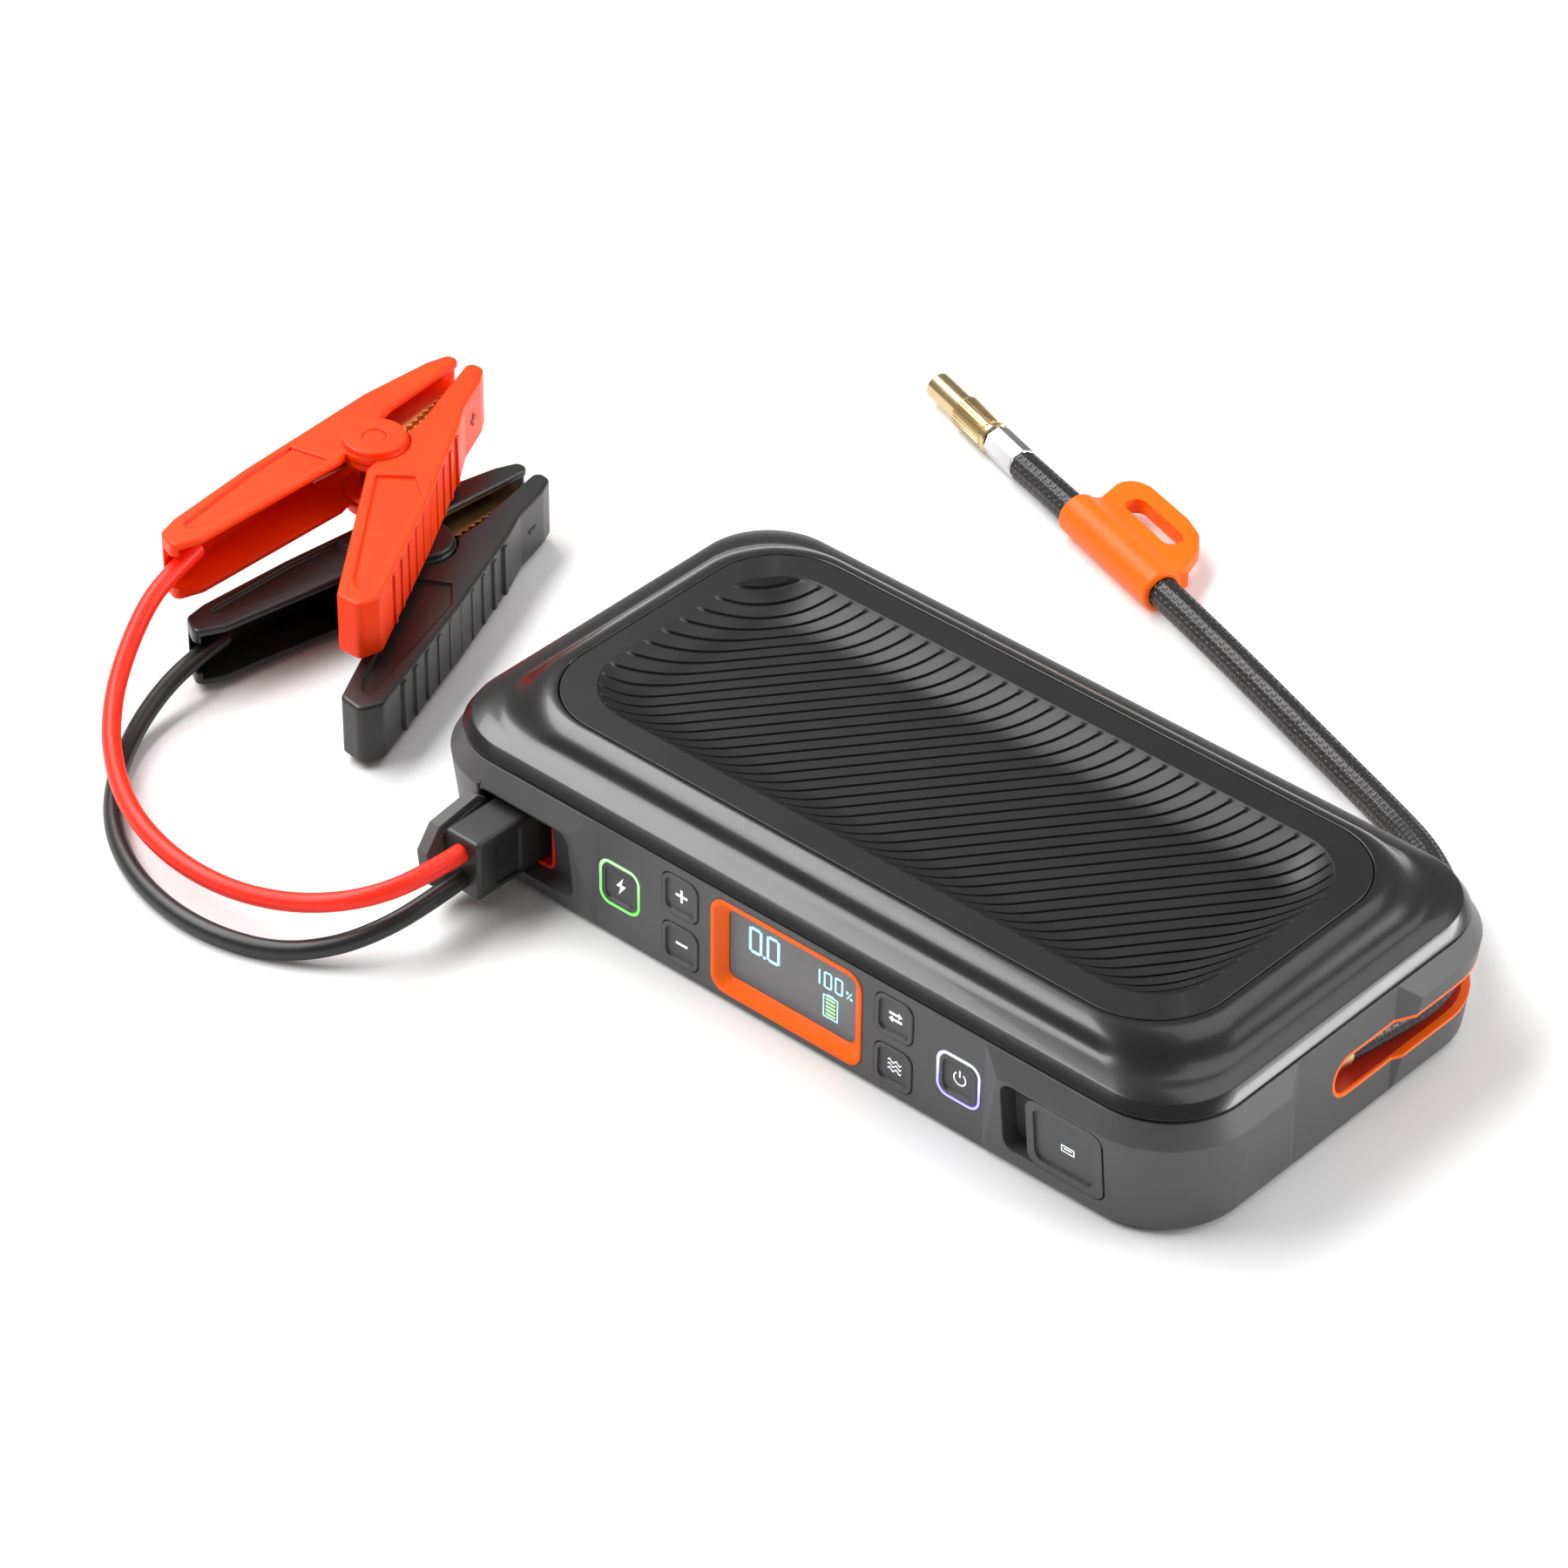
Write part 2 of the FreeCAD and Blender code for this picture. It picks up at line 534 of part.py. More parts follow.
def make_bays():
    face = rounded_prism("xz", (4, 0), ("lid_x", "bay_z - lid_gap"), "bay_round",
                         (0, "lid_thick"))
    plan = block(("4 - lid_x", "lid_end"), (0, "lid_thick"), ("-bay_z", "bay_z"))
    sunk = rounded_prism("xz", (3.4, 0), ("lid_x - 3", "bay_z - 2.7"), "bay_round - 1",
                         (-1, 0.8))
    bore = rod("z", ("lid_pin_x", "lid_pin_y"), "lid_pin + bore_gap", ("-bay_z", "bay_z"))
    node("usb_lid", on_bay(group(cut(common(face, plan), sunk, bore)), 1))
    pin = rod("z", ("lid_pin_x", "lid_pin_y"), "lid_pin", ("-bay_z - 1.3", "bay_z + 1.3"))
    node("usb_lid_pin", on_bay(group(pin), 1))

    shell = block((-6.2, 14.2), ("bay_depth", 16), (-9.2, 9.2))
    type_a = rounded_prism("xz", (4, 3.4), (6.4, 2.55), 0.5, (0, 14))
    type_c = rounded_prism("xz", (4, -4.6), (4.6, 1.75), 1.6, (0, 13))
    tongue = block((-1.5, 9.5), ("bay_depth + 0.6", 14.5), (4.0, 5.4))
    module = cut(shell, type_a, type_c)
    node("usb_module", on_bay(group(fuse(module, tongue)), 1))

    left, right = "-bay_x + 0.4", "-4 + lid_x"
    top = "bay_z - lid_gap"
    outline = [(f"{left} + flap_heel", f"-({top})"), (f"{right} - flap_clip", f"-({top})"),
               (right, f"-({top}) + flap_clip"), (right, f"{top} - flap_clip"),
               (f"{right} - flap_clip", top), (f"{left} + flap_heel", top)]
    plate = polygon_prism("xz", outline + [
        (left, f"{top} - flap_heel"), (left, f"-({top}) + flap_heel")], (0, "flap_thick"))
    skin = rounded_edges(polygon_prism("xz", outline + [
        (f"{left} + 2", f"{top} - flap_heel"), (f"{left} + 2", f"-({top}) + flap_heel")],
        ("-flap_skin", 0.1)), 0.8, lambda box: box.YMax < value("-flap_skin") + 0.01)
    seal = polygon_prism("xz", [
        (f"{left} + 3", f"-({top}) + 2.5"),
        (f"{right} - flap_clip - 1", f"-({top}) + 2.5"),
        (f"{right} - 2.5", f"-({top}) + flap_clip + 1"),
        (f"{right} - 2.5", f"{top} - flap_clip - 1"),
        (f"{right} - flap_clip - 1", f"{top} - 2.5"), (f"{left} + 3", f"{top} - 2.5")],
        ("flap_thick", "flap_thick + flap_gasket"))
    bore = rod("z", ("-bay_x + 1", "flap_pin_y"), "lid_pin + bore_gap", ("-bay_z", "bay_z"))
    knuckle = rod("z", ("-bay_x + 1", "flap_pin_y"), 0.95, (-8, 8))
    pivot = (-value("bay_x") + 1, value("flap_pin_y"))
    turn = -value("flap_open")
    rounded_end = block((left, "-bay_x + 1"), (-1, "flap_thick + 1"), ("-bay_z", "bay_z"))
    flap = cut(fuse(cut(fuse(plate, seal, skin), rounded_end), knuckle), bore)
    node("port_flap", on_bay(group(flap), -1, turn, pivot))
    pin = rod("z", ("-bay_x + 1", "flap_pin_y"), "lid_pin", ("-bay_z - 1.3", "bay_z + 1.3"))
    node("port_flap_pin", on_bay(group(pin), -1))

    cup = rounded_prism("xz", ("socket_middle", "bay_height"), ("socket_x", "socket_z"), 2.5,
                        ("-(pack_width / 2) + bay_depth + 1.6", "-socket_back"))
    room = rounded_prism("xz", ("socket_middle", "bay_height"),
                         ("socket_x - liner", "socket_z - liner"), 1.6,
                         ("-plug_front", "-socket_back - 1.6"))
    rods, holes = [], []
    for rise in (1, -1):
        centre = ("plug_middle", f"bay_height + {rise} * contact_rise")
        rods.append(rod("y", centre, "contact_radius", ("-socket_back - 13", "-socket_back")))
        holes.append(rod("y", centre, "contact_radius", ("-socket_back - 14", "-socket_back + 5")))
    node("jump_socket", cut(cup, room, *holes))
    node("socket_contacts", group(*rods))


# ---------------------------------------------------------------- inside the pack

def gear_shape(teeth, module, height, bore):
    """A spur gear: straight-flanked teeth on a root disc, with room for running."""
    pitch = module * teeth / 2
    root, tip = pitch - 1.2 * module, pitch + 0.85 * module
    points = []
    for tooth in range(teeth):
        middle = 2 * math.pi * tooth / teeth
        for radius, share in ((root, -0.33), (tip, -0.12), (tip, 0.12), (root, 0.33)):
            angle = middle + share * 2 * math.pi / teeth
            points.append(Vector(radius * math.cos(angle), radius * math.sin(angle), 0))
    wheel = Part.Face(Part.makePolygon(points + points[:1])).extrude(Vector(0, 0, height))
    return wheel.cut(Part.makeCylinder(bore, height))


MOTOR_X, MOTOR_Y = 78.0, 14.0
PINION_TEETH, GEAR_TEETH, GEAR_MODULE = 12, 36, 0.8


def make_inside():
    floor = "foot_stand + wall"
    cells = []
    for index in range(4):
        y = f"-34.7 + 17.5 * {index}"
        cells.append(rounded_prism("yz", (y, 15.5), (8.2, 9.5), 2.5, (-100, 8)))
    node("battery_cells", group(*cells))
    tray = block((-104, 12), (-43.5, 27), (floor, f"{floor} + 2"))
    wall = [block((x, x + 2), (-43.5, 27), (f"{floor} + 2", 16)) for x in (-104, 10)]
    node("battery_tray", fuse(tray, *wall))
    board = block((-95, 5), (-42, 20), (27.5, 29.1))
    blocks = [block((x, x + 9), (y, y + 9), (29.1, 31.5)) for x, y in
              ((-80, -30), (-60, -30), (-40, -8), (-75, 2), (-20, -34), (-12, 4))]
    node("main_board", fuse(board, *blocks))

    can = rod("z", (MOTOR_X, MOTOR_Y), 12, (floor, f"{floor} + 17"))
    neck = rod("z", (MOTOR_X, MOTOR_Y), 3.5, (f"{floor} + 17", f"{floor} + 18.5"))
    shaft = rod("z", (MOTOR_X, MOTOR_Y), 1.0, (f"{floor} + 18.5", f"{floor} + 29"))
    node("compressor_motor", fuse(can, neck, shaft))
    spacing = GEAR_MODULE * (PINION_TEETH + GEAR_TEETH) / 2
    gear_base = value(floor) + 19.0
    height = 5.0
    pinion = gear_shape(PINION_TEETH, GEAR_MODULE, height, 1.04)
    shaped("motor_pinion", pinion, Placement(Vector(MOTOR_X, MOTOR_Y, gear_base),
                                             Rotation(Vector(0, 0, 1), 180 / PINION_TEETH)))
    wheel = gear_shape(GEAR_TEETH, GEAR_MODULE, height, 2.04)
    crank = Part.makeCylinder(1.5, 3.0, Vector(-3.5, 0, height))
    shaped("crank_gear", wheel.fuse(crank), Placement(
        Vector(MOTOR_X - spacing, MOTOR_Y, gear_base), Rotation()))
    gear_x = MOTOR_X - spacing
    post = rod("z", (gear_x, MOTOR_Y), 2.0, (f"{floor} + 3", gear_base + height + 0.5))
    frame = block((gear_x - 9, gear_x + 5), (MOTOR_Y - 10, MOTOR_Y + 14),
                  (floor, f"{floor} + 3"))
    node("pump_frame", fuse(frame, post))
    bore_y = (MOTOR_Y + 20.0, MOTOR_Y + 34.0)
    middle_z = gear_base + height - 6.0
    barrel = rod("y", (gear_x, middle_z), 8.5, bore_y)
    hole = rod("y", (gear_x, middle_z), 6.5, (bore_y[0] - 1, bore_y[1] - 3))
    outlet = rod("y", (gear_x, middle_z), 1.5, (bore_y[0], bore_y[1] + 1))
    node("pump_cylinder", cut(barrel, hole, outlet))
    piston = rod("y", (gear_x, middle_z), 6.45, (bore_y[0] + 0.5, bore_y[0] + 4.5))
    stub = rod("y", (gear_x, middle_z), 2.0, (bore_y[0] - 2.5, bore_y[0] + 0.5))
    node("pump_piston", fuse(piston, stub))
    bosses = []
    for x in (-110, 110):
        for y in (-38, 44):
            head = rod("z", (x, y), 2.6, (floor, f"{floor} + 1.6"))
            shank = rod("z", (x, y), 1.4, (f"{floor} + 1.6", "cover_roof"))
            bosses.append(fuse(head, shank))
    node("housing_screws", group(*bosses))


# ---------------------------------------------------------------- cords

def rounded_route(points):
    """Straight runs joined by tangent arcs, each as large as its two runs allow."""
    corners = [Vector(*point) for point in points]
    edges, start, smallest = [], corners[0], math.inf
    for before, corner, after in zip(corners, corners[1:], corners[2:]):
        into, out = corner - before, after - corner
        turn = into.getAngle(out)
        reach = 0.45 * min(into.Length, out.Length)
        smallest = min(smallest, reach / math.tan(turn / 2))
        into.normalize()
        out.normalize()
        first, last = corner - into * reach, corner + out * reach
        inward = out - into
        inward.normalize()
        radius = reach / math.tan(turn / 2)
        centre = corner + inward * (radius / math.cos(turn / 2))
        towards = corner - centre
        towards.normalize()
        edges.append(Part.LineSegment(start, first).toShape())
        edges.append(Part.Arc(first, centre + towards * radius, last).toShape())
        start = last
    edges.append(Part.LineSegment(start, corners[-1]).toShape())
    return Part.Wire(edges), smallest


def cord(label, points, radius):
    path, smallest = rounded_route(points)
    first = path.Edges[0]
    along = first.tangentAt(first.FirstParameter)
    ring = Part.Wire(Part.makeCircle(radius, Vector(*points[0]), along))
    tube = path.makePipeShell([ring], True, False)
    expected = math.pi * radius ** 2 * path.Length
    if abs(tube.Volume - expected) > 0.01 * expected:
        raise RuntimeError(f"{label} has the wrong volume")
    print(f"{label}: length {path.Length:.0f}, smallest radius {smallest:.1f}")
    shaped(label, tube)


RED_ROUTE = [
    (-98.15, -89, 22), (-98.4, -103, 21.8), (-103.6, -116.4, 20), (-114.8, -125.4, 16.6),
    (-130.8, -130, 12.2), (-149.5, -132, 9.2), (-170, -131.2, 9), (-190.5, -126, 11.4),
    (-211.5, -112, 12.4), (-225.2, -98, 15.4), (-232, -86, 22), (-236.6, -73, 29.4),
    (-238.6, -62.1, 32.7), (-241.7, -49, 33.1)]
BLACK_ROUTE = [
    (-98.15, -89, 13.4), (-98.1, -102, 12.6), (-101.2, -115, 9.8), (-109, -126.5, 5.8),
    (-121.5, -136, 2.85), (-138, -142, 2.85), (-156.5, -142.8, 2.85), (-176, -138.2, 2.85),
    (-194.5, -128, 2.85), (-209.5, -113, 2.85), (-220, -97, 3.6), (-225.4, -81.5, 7.2),
    (-226.6, -67, 11.2), (-227.6, -53.1, 11.8)]
HOSE_ROUTE = [
    (123.4, 9, 18.2), (125.8, 24, 18.2), (127.8, 43, 18.2), (120.4, 61, 18.2),
    (104.5, 79, 17.6), (87, 94.5, 13.2), (66.5, 107.5, 7.6), (36, 120.9, 5),
    (-30, 144, 6.7), (-94, 164.9, 6.7), (-123.3, 174.8, 5.45)]
CHUCK_LINE = Vector(-0.947, 0.321, 0)


def along_chuck(thing, distance):
    """Turns an object built along +X into the chuck's line, a distance past the hose."""
    wrap = group(thing)
    wrap.Placement = Placement(Vector(*HOSE_ROUTE[-1]) + CHUCK_LINE * distance,
                               Rotation(Vector(1, 0, 0), CHUCK_LINE))
    return wrap


def make_hose_pieces():
    """What sits on the hose: inlet fitting, tab, crimp ferrule, stem, seal and collar."""
    start, after = Vector(*HOSE_ROUTE[0]), Vector(*HOSE_ROUTE[1])
    along = (after - start).normalize()
    nut = rod("x", (0, 0), "ferrule_radius", (0, 8))
    nut_group = group(nut)
    nut_group.Placement = Placement(start, Rotation(Vector(1, 0, 0), along * -1))
    nozzle = rod("x", ("hose_start_y", "hose_middle"), "stem_radius + 0.7",
                 (f"{INNER_X} - 4", "122.6"))
    node("hose_fitting", fuse(nut_group, nozzle))

    # The tab is built with its sleeve along +X and then laid on the hose's straight run.
    near, far = Vector(*HOSE_ROUTE[-3]), Vector(*HOSE_ROUTE[-2])
    run = (near - far).normalize()
    sleeve = rounded_edges(rod("x", (0, 0), "sleeve_radius", (0, 47)), 1.2,
                           lambda box: box.XLength < 0.1)
    plate = polygon_prism("xy", [
        (0.6, 0), (46.4, 0), (46.4, 5.2), (41.6, 12.1), (36.6, 19.1),
        (30.1, 23.4), (22.1, 24.9), (2.1, 24.5), (-2.9, 22.1), (-4.4, 17.1), (-1.9, 12.1),
        (0.6, 6.5)], (-2.0, 3.0))
    round_plan = rounded_edges(plate, 6.0, lambda box: box.ZLength > 4 and box.YMin > 15)
    soft = rounded_edges(round_plan, 1.2, lambda box: box.ZLength < 0.1 and box.YMax > 4.5)
    web = polygon_prism("yz", [(0, -6.3), (4.8, -4.1), (9.4, -1.8), (9.4, 2.8), (6.4, 3.9),
                               (3.6, 5.4), (0, 6.4)], (1.3, 45.7))
    slot = rounded_prism("xy", (18.9, 14.9), (12.8, 3.5), 3.4, (-8, 4))
    hose_bore = rod("x", (0, 0), "hose_radius", (-1, 48))
    tab = cut(fuse(sleeve, soft, web), slot, hose_bore)
    tab.Placement = Placement(far - run * 0.5, Rotation(Vector(1, 0, 0), run))
    node("hose_tab", tab)

    ferrule = rounded_edges(rod("x", (0, 0), "ferrule_radius", (0, "ferrule_length")), 0.5,
                            lambda box: box.XLength < 0.1)
    node("hose_ferrule", along_chuck(ferrule, 0))
    shaft = rod("x", (0, 0), "stem_radius", (0, 16))
    head = rod("x", (0, 0), "chuck_bore - 0.35", (14.5, 16))
    node("chuck_stem", along_chuck(fuse(shaft, head), value("ferrule_length")))
    washer = cut(rod("x", (0, 0), "chuck_bore - 0.3", (0, 1.6)), rod("x", (0, 0), 1.1, (-1, 3)))
    node("chuck_seal", along_chuck(washer, value("ferrule_length") + 16))
    grip = rounded_edges(rod("x", (0, 0), "collar_radius", (0, "collar_length")), 0.6,
                         lambda box: box.XLength < 0.1)
    tube = rod("x", (0, 0), "tube_radius", (2, "collar_length + tube_length"))
    shaft_bore = rod("x", (0, 0), "stem_radius + bore_gap", (-1, 20))
    stem_room = rod("x", (0, 0), "chuck_bore + 0.2", (14, 17.6))
    valve_bore = rod("x", (0, 0), "chuck_bore", (17, 60))
    node("chuck_collar", along_chuck(cut(fuse(grip, tube), shaft_bore, stem_room, valve_bore),
                                     value("ferrule_length") + 0.3))


# ---------------------------------------------------------------- jumper lead

def make_plug():
    middle = ("plug_middle", "bay_height")
    shell = rounded_edges(rounded_prism("xz", middle, ("plug_x", "plug_z"), 1.6,
                                        ("-plug_front", "-plug_back")),
                          1.2, lambda box: box.YMax < value("-plug_front") + 0.01)
    holes = []
    sleeves = []
    for rise in (1, -1):
        centre = ("plug_middle", f"bay_height + {rise} * contact_rise")
        holes.append(rod("y", centre, 3.3, ("-plug_back - 13", "-plug_back + 1")))
        barrel = rod("y", centre, 3.3, ("-plug_back - 13", "-plug_back - 0.2"))
        bore = rod("y", centre, "contact_radius + 0.1", ("-plug_back - 14", "-plug_back + 1"))
        sleeves.append(cut(barrel, bore))
    thumb = rounded_prism("yz", ("-plug_front + 11.5", "bay_height"), (4.8, 7.1), 1.6,
                          ("plug_middle + plug_x - 0.7", "plug_middle + plug_x + 1"))
    node("jump_plug", cut(shell, thumb, *holes))
    node("plug_contacts", group(*sleeves))


CABLE_HALF = [(50, 1.2), (49.5, 6), (43, 9.4), (20, 16.2), (-31, 25), (-61.6, 28.6),
              (-69, 28), (-73.5, 21), (-66, 16.2), (-13, 3.5), (18, 5.7)]
SQUEEZE_HALF = [(50, -1.2), (18, -5.7), (-13, -5.5), (-70.5, -31.5), (-71.9, -39.5),
                (-65.2, -42.7), (-16.2, -28.4), (20, -16.3), (29, -12.5), (43, -9.4),
                (48.8, -7)]
CABLE_RECESS = [(-14.5, 7), (-14.5, 19.6), (-31, 22.4), (-62, 24.8), (-63.5, 22.6), (-61, 20)]
SQUEEZE_RECESS = [(-14.5, -9.5), (-61, -31.2), (-64.5, -34), (-64.5, -37.4), (-17, -26.2),
                  (-9.5, -19.5)]


def hollow(points, opened, wall):
    """The outline's inside: walls moved in, and the named open sides moved out."""
    lines = []
    for index, start in enumerate(points):
        end = points[(index + 1) % len(points)]
        first, last = Vector(*start, 0), Vector(*end, 0)
        run = (last - first).normalize()
        inward = Vector(-run.y, run.x, 0) * (-4.0 if index in opened else wall)
        lines.append((first + inward, run))
    corners = []
    for index, (point, run) in enumerate(lines):
        before, old_run = lines[index - 1]
        across = old_run.x * run.y - old_run.y * run.x
        gap = point - before
        reach = (gap.x * run.y - gap.y * run.x) / across
        meet = before + old_run * reach
        corners.append((round(meet.x, 3), round(meet.y, 3)))
    return corners


def clamp_shell(points, opened, walls):
    """A U-section clamp arm with soft outside edges."""
    arm = polygon_prism("xy", points, ("-clamp_half", "clamp_half"))
    back = rounded_edges(arm, 2.4, lambda box: box.ZLength > 10 and (
        box.XMin < -60 or abs(box.YMin) > 9 or box.XMin > 48.5))
    soft = rounded_edges(back, 0.9, lambda box: box.ZLength < 0.1)
    room = polygon_prism("xy", hollow(points, opened, walls),
                         ("-clamp_half + clamp_wall", "clamp_half - clamp_wall"))
    return cut(soft, room)


def jaw_teeth(side, start, stop, seat):
    """A copper jaw strip: teeth along the bite, and a back seated in the arm."""
    points, x = [], start
    while x < stop - 0.5:
        points += [(x, f"{side} * (0.25 + tooth_depth)"),
                   (f"{x} + tooth_pitch / 2", f"{side} * 0.25")]
        x += value("tooth_pitch")
    points += [(stop, f"{side} * (0.25 + tooth_depth)")] + seat
    return points


def side_recesses(points):
    """Shallow pockets in both flat sides of an arm."""
    return [polygon_prism("xy", points, span) for span in
            (("clamp_half - clamp_recess", "clamp_half + 1"),
             ("-clamp_half - 1", "-clamp_half + clamp_recess"))]


def place_on_clamp(thing, frame):
    thing.Placement = frame
    return thing


def make_clamp(colour, pivot, heading):
    """One clamp, built with its pivot at the origin and its jaws along +X."""
    frame = Placement(Vector(*pivot), Rotation(Vector(0, 0, 1), heading))

    arm = clamp_shell(CABLE_HALF, {7, 8, 9, 10, 0}, 2.0)
    discs = [rod("z", (0, 0), "ear_radius + 0.5", span) for span in
             (("clamp_half - clamp_wall", "clamp_half"), ("-clamp_half", "-clamp_half + clamp_wall"))]
    caps = [rounded_edges(rod("z", (0, 0), "ear_radius", span), 0.6, test) for span, test in (
        (("clamp_half - 1", "clamp_half + cap_height"),
         lambda box: box.ZMin > value("clamp_half + 1")),
        (("-clamp_half - cap_height", "-clamp_half + 1"),
         lambda box: box.ZMax < value("-clamp_half - 1")))]
    pin_bore = rod("z", (0, 0), "pin_radius + bore_gap", (-14, 14))
    dimples = [rod("z", (0, 0), 3.5, span) for span in
               (("clamp_half + 0.5", 14), (-14, "-clamp_half - 0.5"))]
    window = block((-82, -64), (18.4, 26.2), (-5.2, 5.2))
    half = cut(fuse(arm, *discs, *caps), pin_bore, window, *dimples,
               *side_recesses(CABLE_RECESS))
    node(f"{colour}_cable_half", place_on_clamp(half, frame))

    arm = clamp_shell(SQUEEZE_HALF, {10, 0, 1, 2}, 2.0)
    clearing = [rod("z", (0, 0), "ear_radius + 1.2", span) for span in
                (("clamp_half - clamp_wall - 0.3", "clamp_half + 1"),
                 ("-clamp_half - 1", "-clamp_half + clamp_wall + 0.3"))]
    ears = []
    for low, high in (("clamp_half - clamp_wall - 2.5", "clamp_half - clamp_wall - 0.3"),
                      ("-clamp_half + clamp_wall + 0.3", "-clamp_half + clamp_wall + 2.5")):
        ears.append(rod("z", (0, 0), "ear_radius", (low, high)))
    for low, high in (("clamp_half - clamp_wall - 2.5", "clamp_half - 0.5"),
                      ("-clamp_half + 0.5", "-clamp_half + clamp_wall + 2.5")):
        ears.append(block((-11, 12), (-16, -5.6), (low, high)))
    ribs = []
    for index in range(10):
        rib = group(block((-0.9, 0.9), (-0.9, 0.8), ("-clamp_half + 1.2", "clamp_half - 1.2")))
        along = 5 + 7.9 * index
        rib.Placement = Placement(Vector(20 - 0.9566 * along, -16.3 - 0.297 * along, 0),
                                  Rotation(Vector(0, 0, 1), 17.2))
        ribs.append(rib)
    half = cut(fuse(cut(fuse(arm, *ears[2:]), *clearing), *ears[:2], *ribs), pin_bore,
               *side_recesses(SQUEEZE_RECESS))
    node(f"{colour}_squeeze_half", place_on_clamp(half, frame))

    shaft = rod("z", (0, 0), "pin_radius", ("-clamp_half - 1", "clamp_half + 1"))
    heads = [rod("z", (0, 0), 3.4, span) for span in
             (("clamp_half + 0.5", "clamp_half + 1.7"), ("-clamp_half - 1.7", "-clamp_half - 0.5"))]
    node(f"{colour}_pivot_pin", place_on_clamp(fuse(shaft, *heads), frame))

    coil = cut(rod("z", (0, 0), 4.6, (-4.2, 4.2)), rod("z", (0, 0), 3.2, (-5, 5)))
    legs = []
    for side, lean, reach in ((1, 16, 20), (-1, 22, 18)):
        leg = group(rod("x", (0, 0), 0.7, (f"-{reach}", 0)))
        leg.Placement = Placement(Vector(0, side * 3.9, side * 3.2),
                                  Rotation(Vector(0, 0, 1), -side * lean))
        legs.append(leg)
    node(f"{colour}_spring", place_on_clamp(fuse(coil, *legs), frame))

    jaw = polygon_prism("xy", jaw_teeth(1, 16, 46, [(46, 5.2), (43, 6.9), (16, 14.6)]),
                        ("-jaw_half", "jaw_half"))
    node(f"{colour}_fixed_jaw", place_on_clamp(group(jaw), frame))
    points = jaw_teeth(-1, 16, 46, [(46, -5.2), (43, -6.9), (29, -10.2), (16, -15)])
    jaw = polygon_prism("xy", points[::-1], ("-jaw_half", "jaw_half"))
    node(f"{colour}_moving_jaw", place_on_clamp(group(jaw), frame))


# ---------------------------------------------------------------- build and export

def check_and_export():
    doc.recompute()
    for thing in doc.Objects:
        if "Invalid" in thing.State or "Error" in thing.State:
            raise RuntimeError(f"{thing.Name} ({thing.Label}) failed: {thing.State}")
    os.makedirs("parts", exist_ok=True)
    for label, thing in NODES.items():
        if thing.Shape.isNull() or not thing.Shape.isValid():
            raise RuntimeError(f"{label} has no valid shape")
        thing.Shape.exportStep(f"parts/{label}.step")
    print(f"{len(NODES)} sub-parts written")


make_shells()
make_panel()
make_bays()
make_inside()
make_hose_pieces()
make_plug()
make_clamp("black", (-209.2, 8.25, 11.8), 93.7)
make_clamp("red", (-233.5, 14.5, 33.1), 103.0)
cord("red_cable", RED_ROUTE, value("cable_radius"))
cord("black_cable", BLACK_ROUTE, value("cable_radius"))
cord("air_hose", HOSE_ROUTE, value("hose_radius"))
check_and_export()
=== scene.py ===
import json
import math

import bmesh
import bpy
from mathutils import Matrix, Vector


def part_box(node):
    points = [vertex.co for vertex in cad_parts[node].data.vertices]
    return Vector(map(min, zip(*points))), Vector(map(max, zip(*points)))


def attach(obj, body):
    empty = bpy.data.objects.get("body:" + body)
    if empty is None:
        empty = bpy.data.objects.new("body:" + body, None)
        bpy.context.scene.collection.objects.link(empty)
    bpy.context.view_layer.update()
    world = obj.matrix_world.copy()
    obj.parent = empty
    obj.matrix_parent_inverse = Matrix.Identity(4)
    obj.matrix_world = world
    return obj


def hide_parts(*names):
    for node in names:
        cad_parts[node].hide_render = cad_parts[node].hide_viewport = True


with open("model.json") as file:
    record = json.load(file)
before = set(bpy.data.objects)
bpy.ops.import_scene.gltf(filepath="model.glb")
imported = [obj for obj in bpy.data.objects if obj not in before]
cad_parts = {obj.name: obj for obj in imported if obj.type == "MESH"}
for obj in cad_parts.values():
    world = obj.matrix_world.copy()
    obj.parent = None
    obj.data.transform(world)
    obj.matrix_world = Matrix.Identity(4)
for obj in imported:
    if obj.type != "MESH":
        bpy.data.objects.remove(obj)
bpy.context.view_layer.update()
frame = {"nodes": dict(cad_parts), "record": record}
nodes = frame["nodes"]
joints = {joint["name"]: joint for joint in frame["record"]["behaviour"]["joints"]}

# Shapes and routes are drawn in millimetres and turned to metres as they become meshes.
# Distances inside materials, the lights, the floor and the camera are in metres.
MM = 0.001


# ---------------------------------------------------------------- materials

def material(name, colour, rough=0.5, metal=0.0, coat=0.0, **sockets):
    """A node material with its plain numbers on the shader's own sockets."""
    mat = bpy.data.materials.new(name)
    mat.use_nodes = True
    shader = mat.node_tree.nodes["Principled BSDF"]
    shader.inputs["Base Color"].default_value = (*colour, 1)
    shader.inputs["Roughness"].default_value = rough
    shader.inputs["Metallic"].default_value = metal
    shader.inputs["Coat Weight"].default_value = coat
    for socket, number in sockets.items():
        shader.inputs[socket.replace("_", " ")].default_value = number
    mat.diffuse_color = (*colour, 1)
    return mat


def nodes_of(mat):
    """A material's nodes, its links and its shader."""
    return mat.node_tree.nodes, mat.node_tree.links, mat.node_tree.nodes["Principled BSDF"]


def object_noise(mat, scale, detail):
    """Noise that keeps its scale on every piece, since all share one origin."""
    tree, links, _ = nodes_of(mat)
    place = tree.new("ShaderNodeTexCoord")
    noise = tree.new("ShaderNodeTexNoise")
    noise.inputs["Scale"].default_value = scale
    noise.inputs["Detail"].default_value = detail
    links.new(place.outputs["Object"], noise.inputs["Vector"])
    return noise


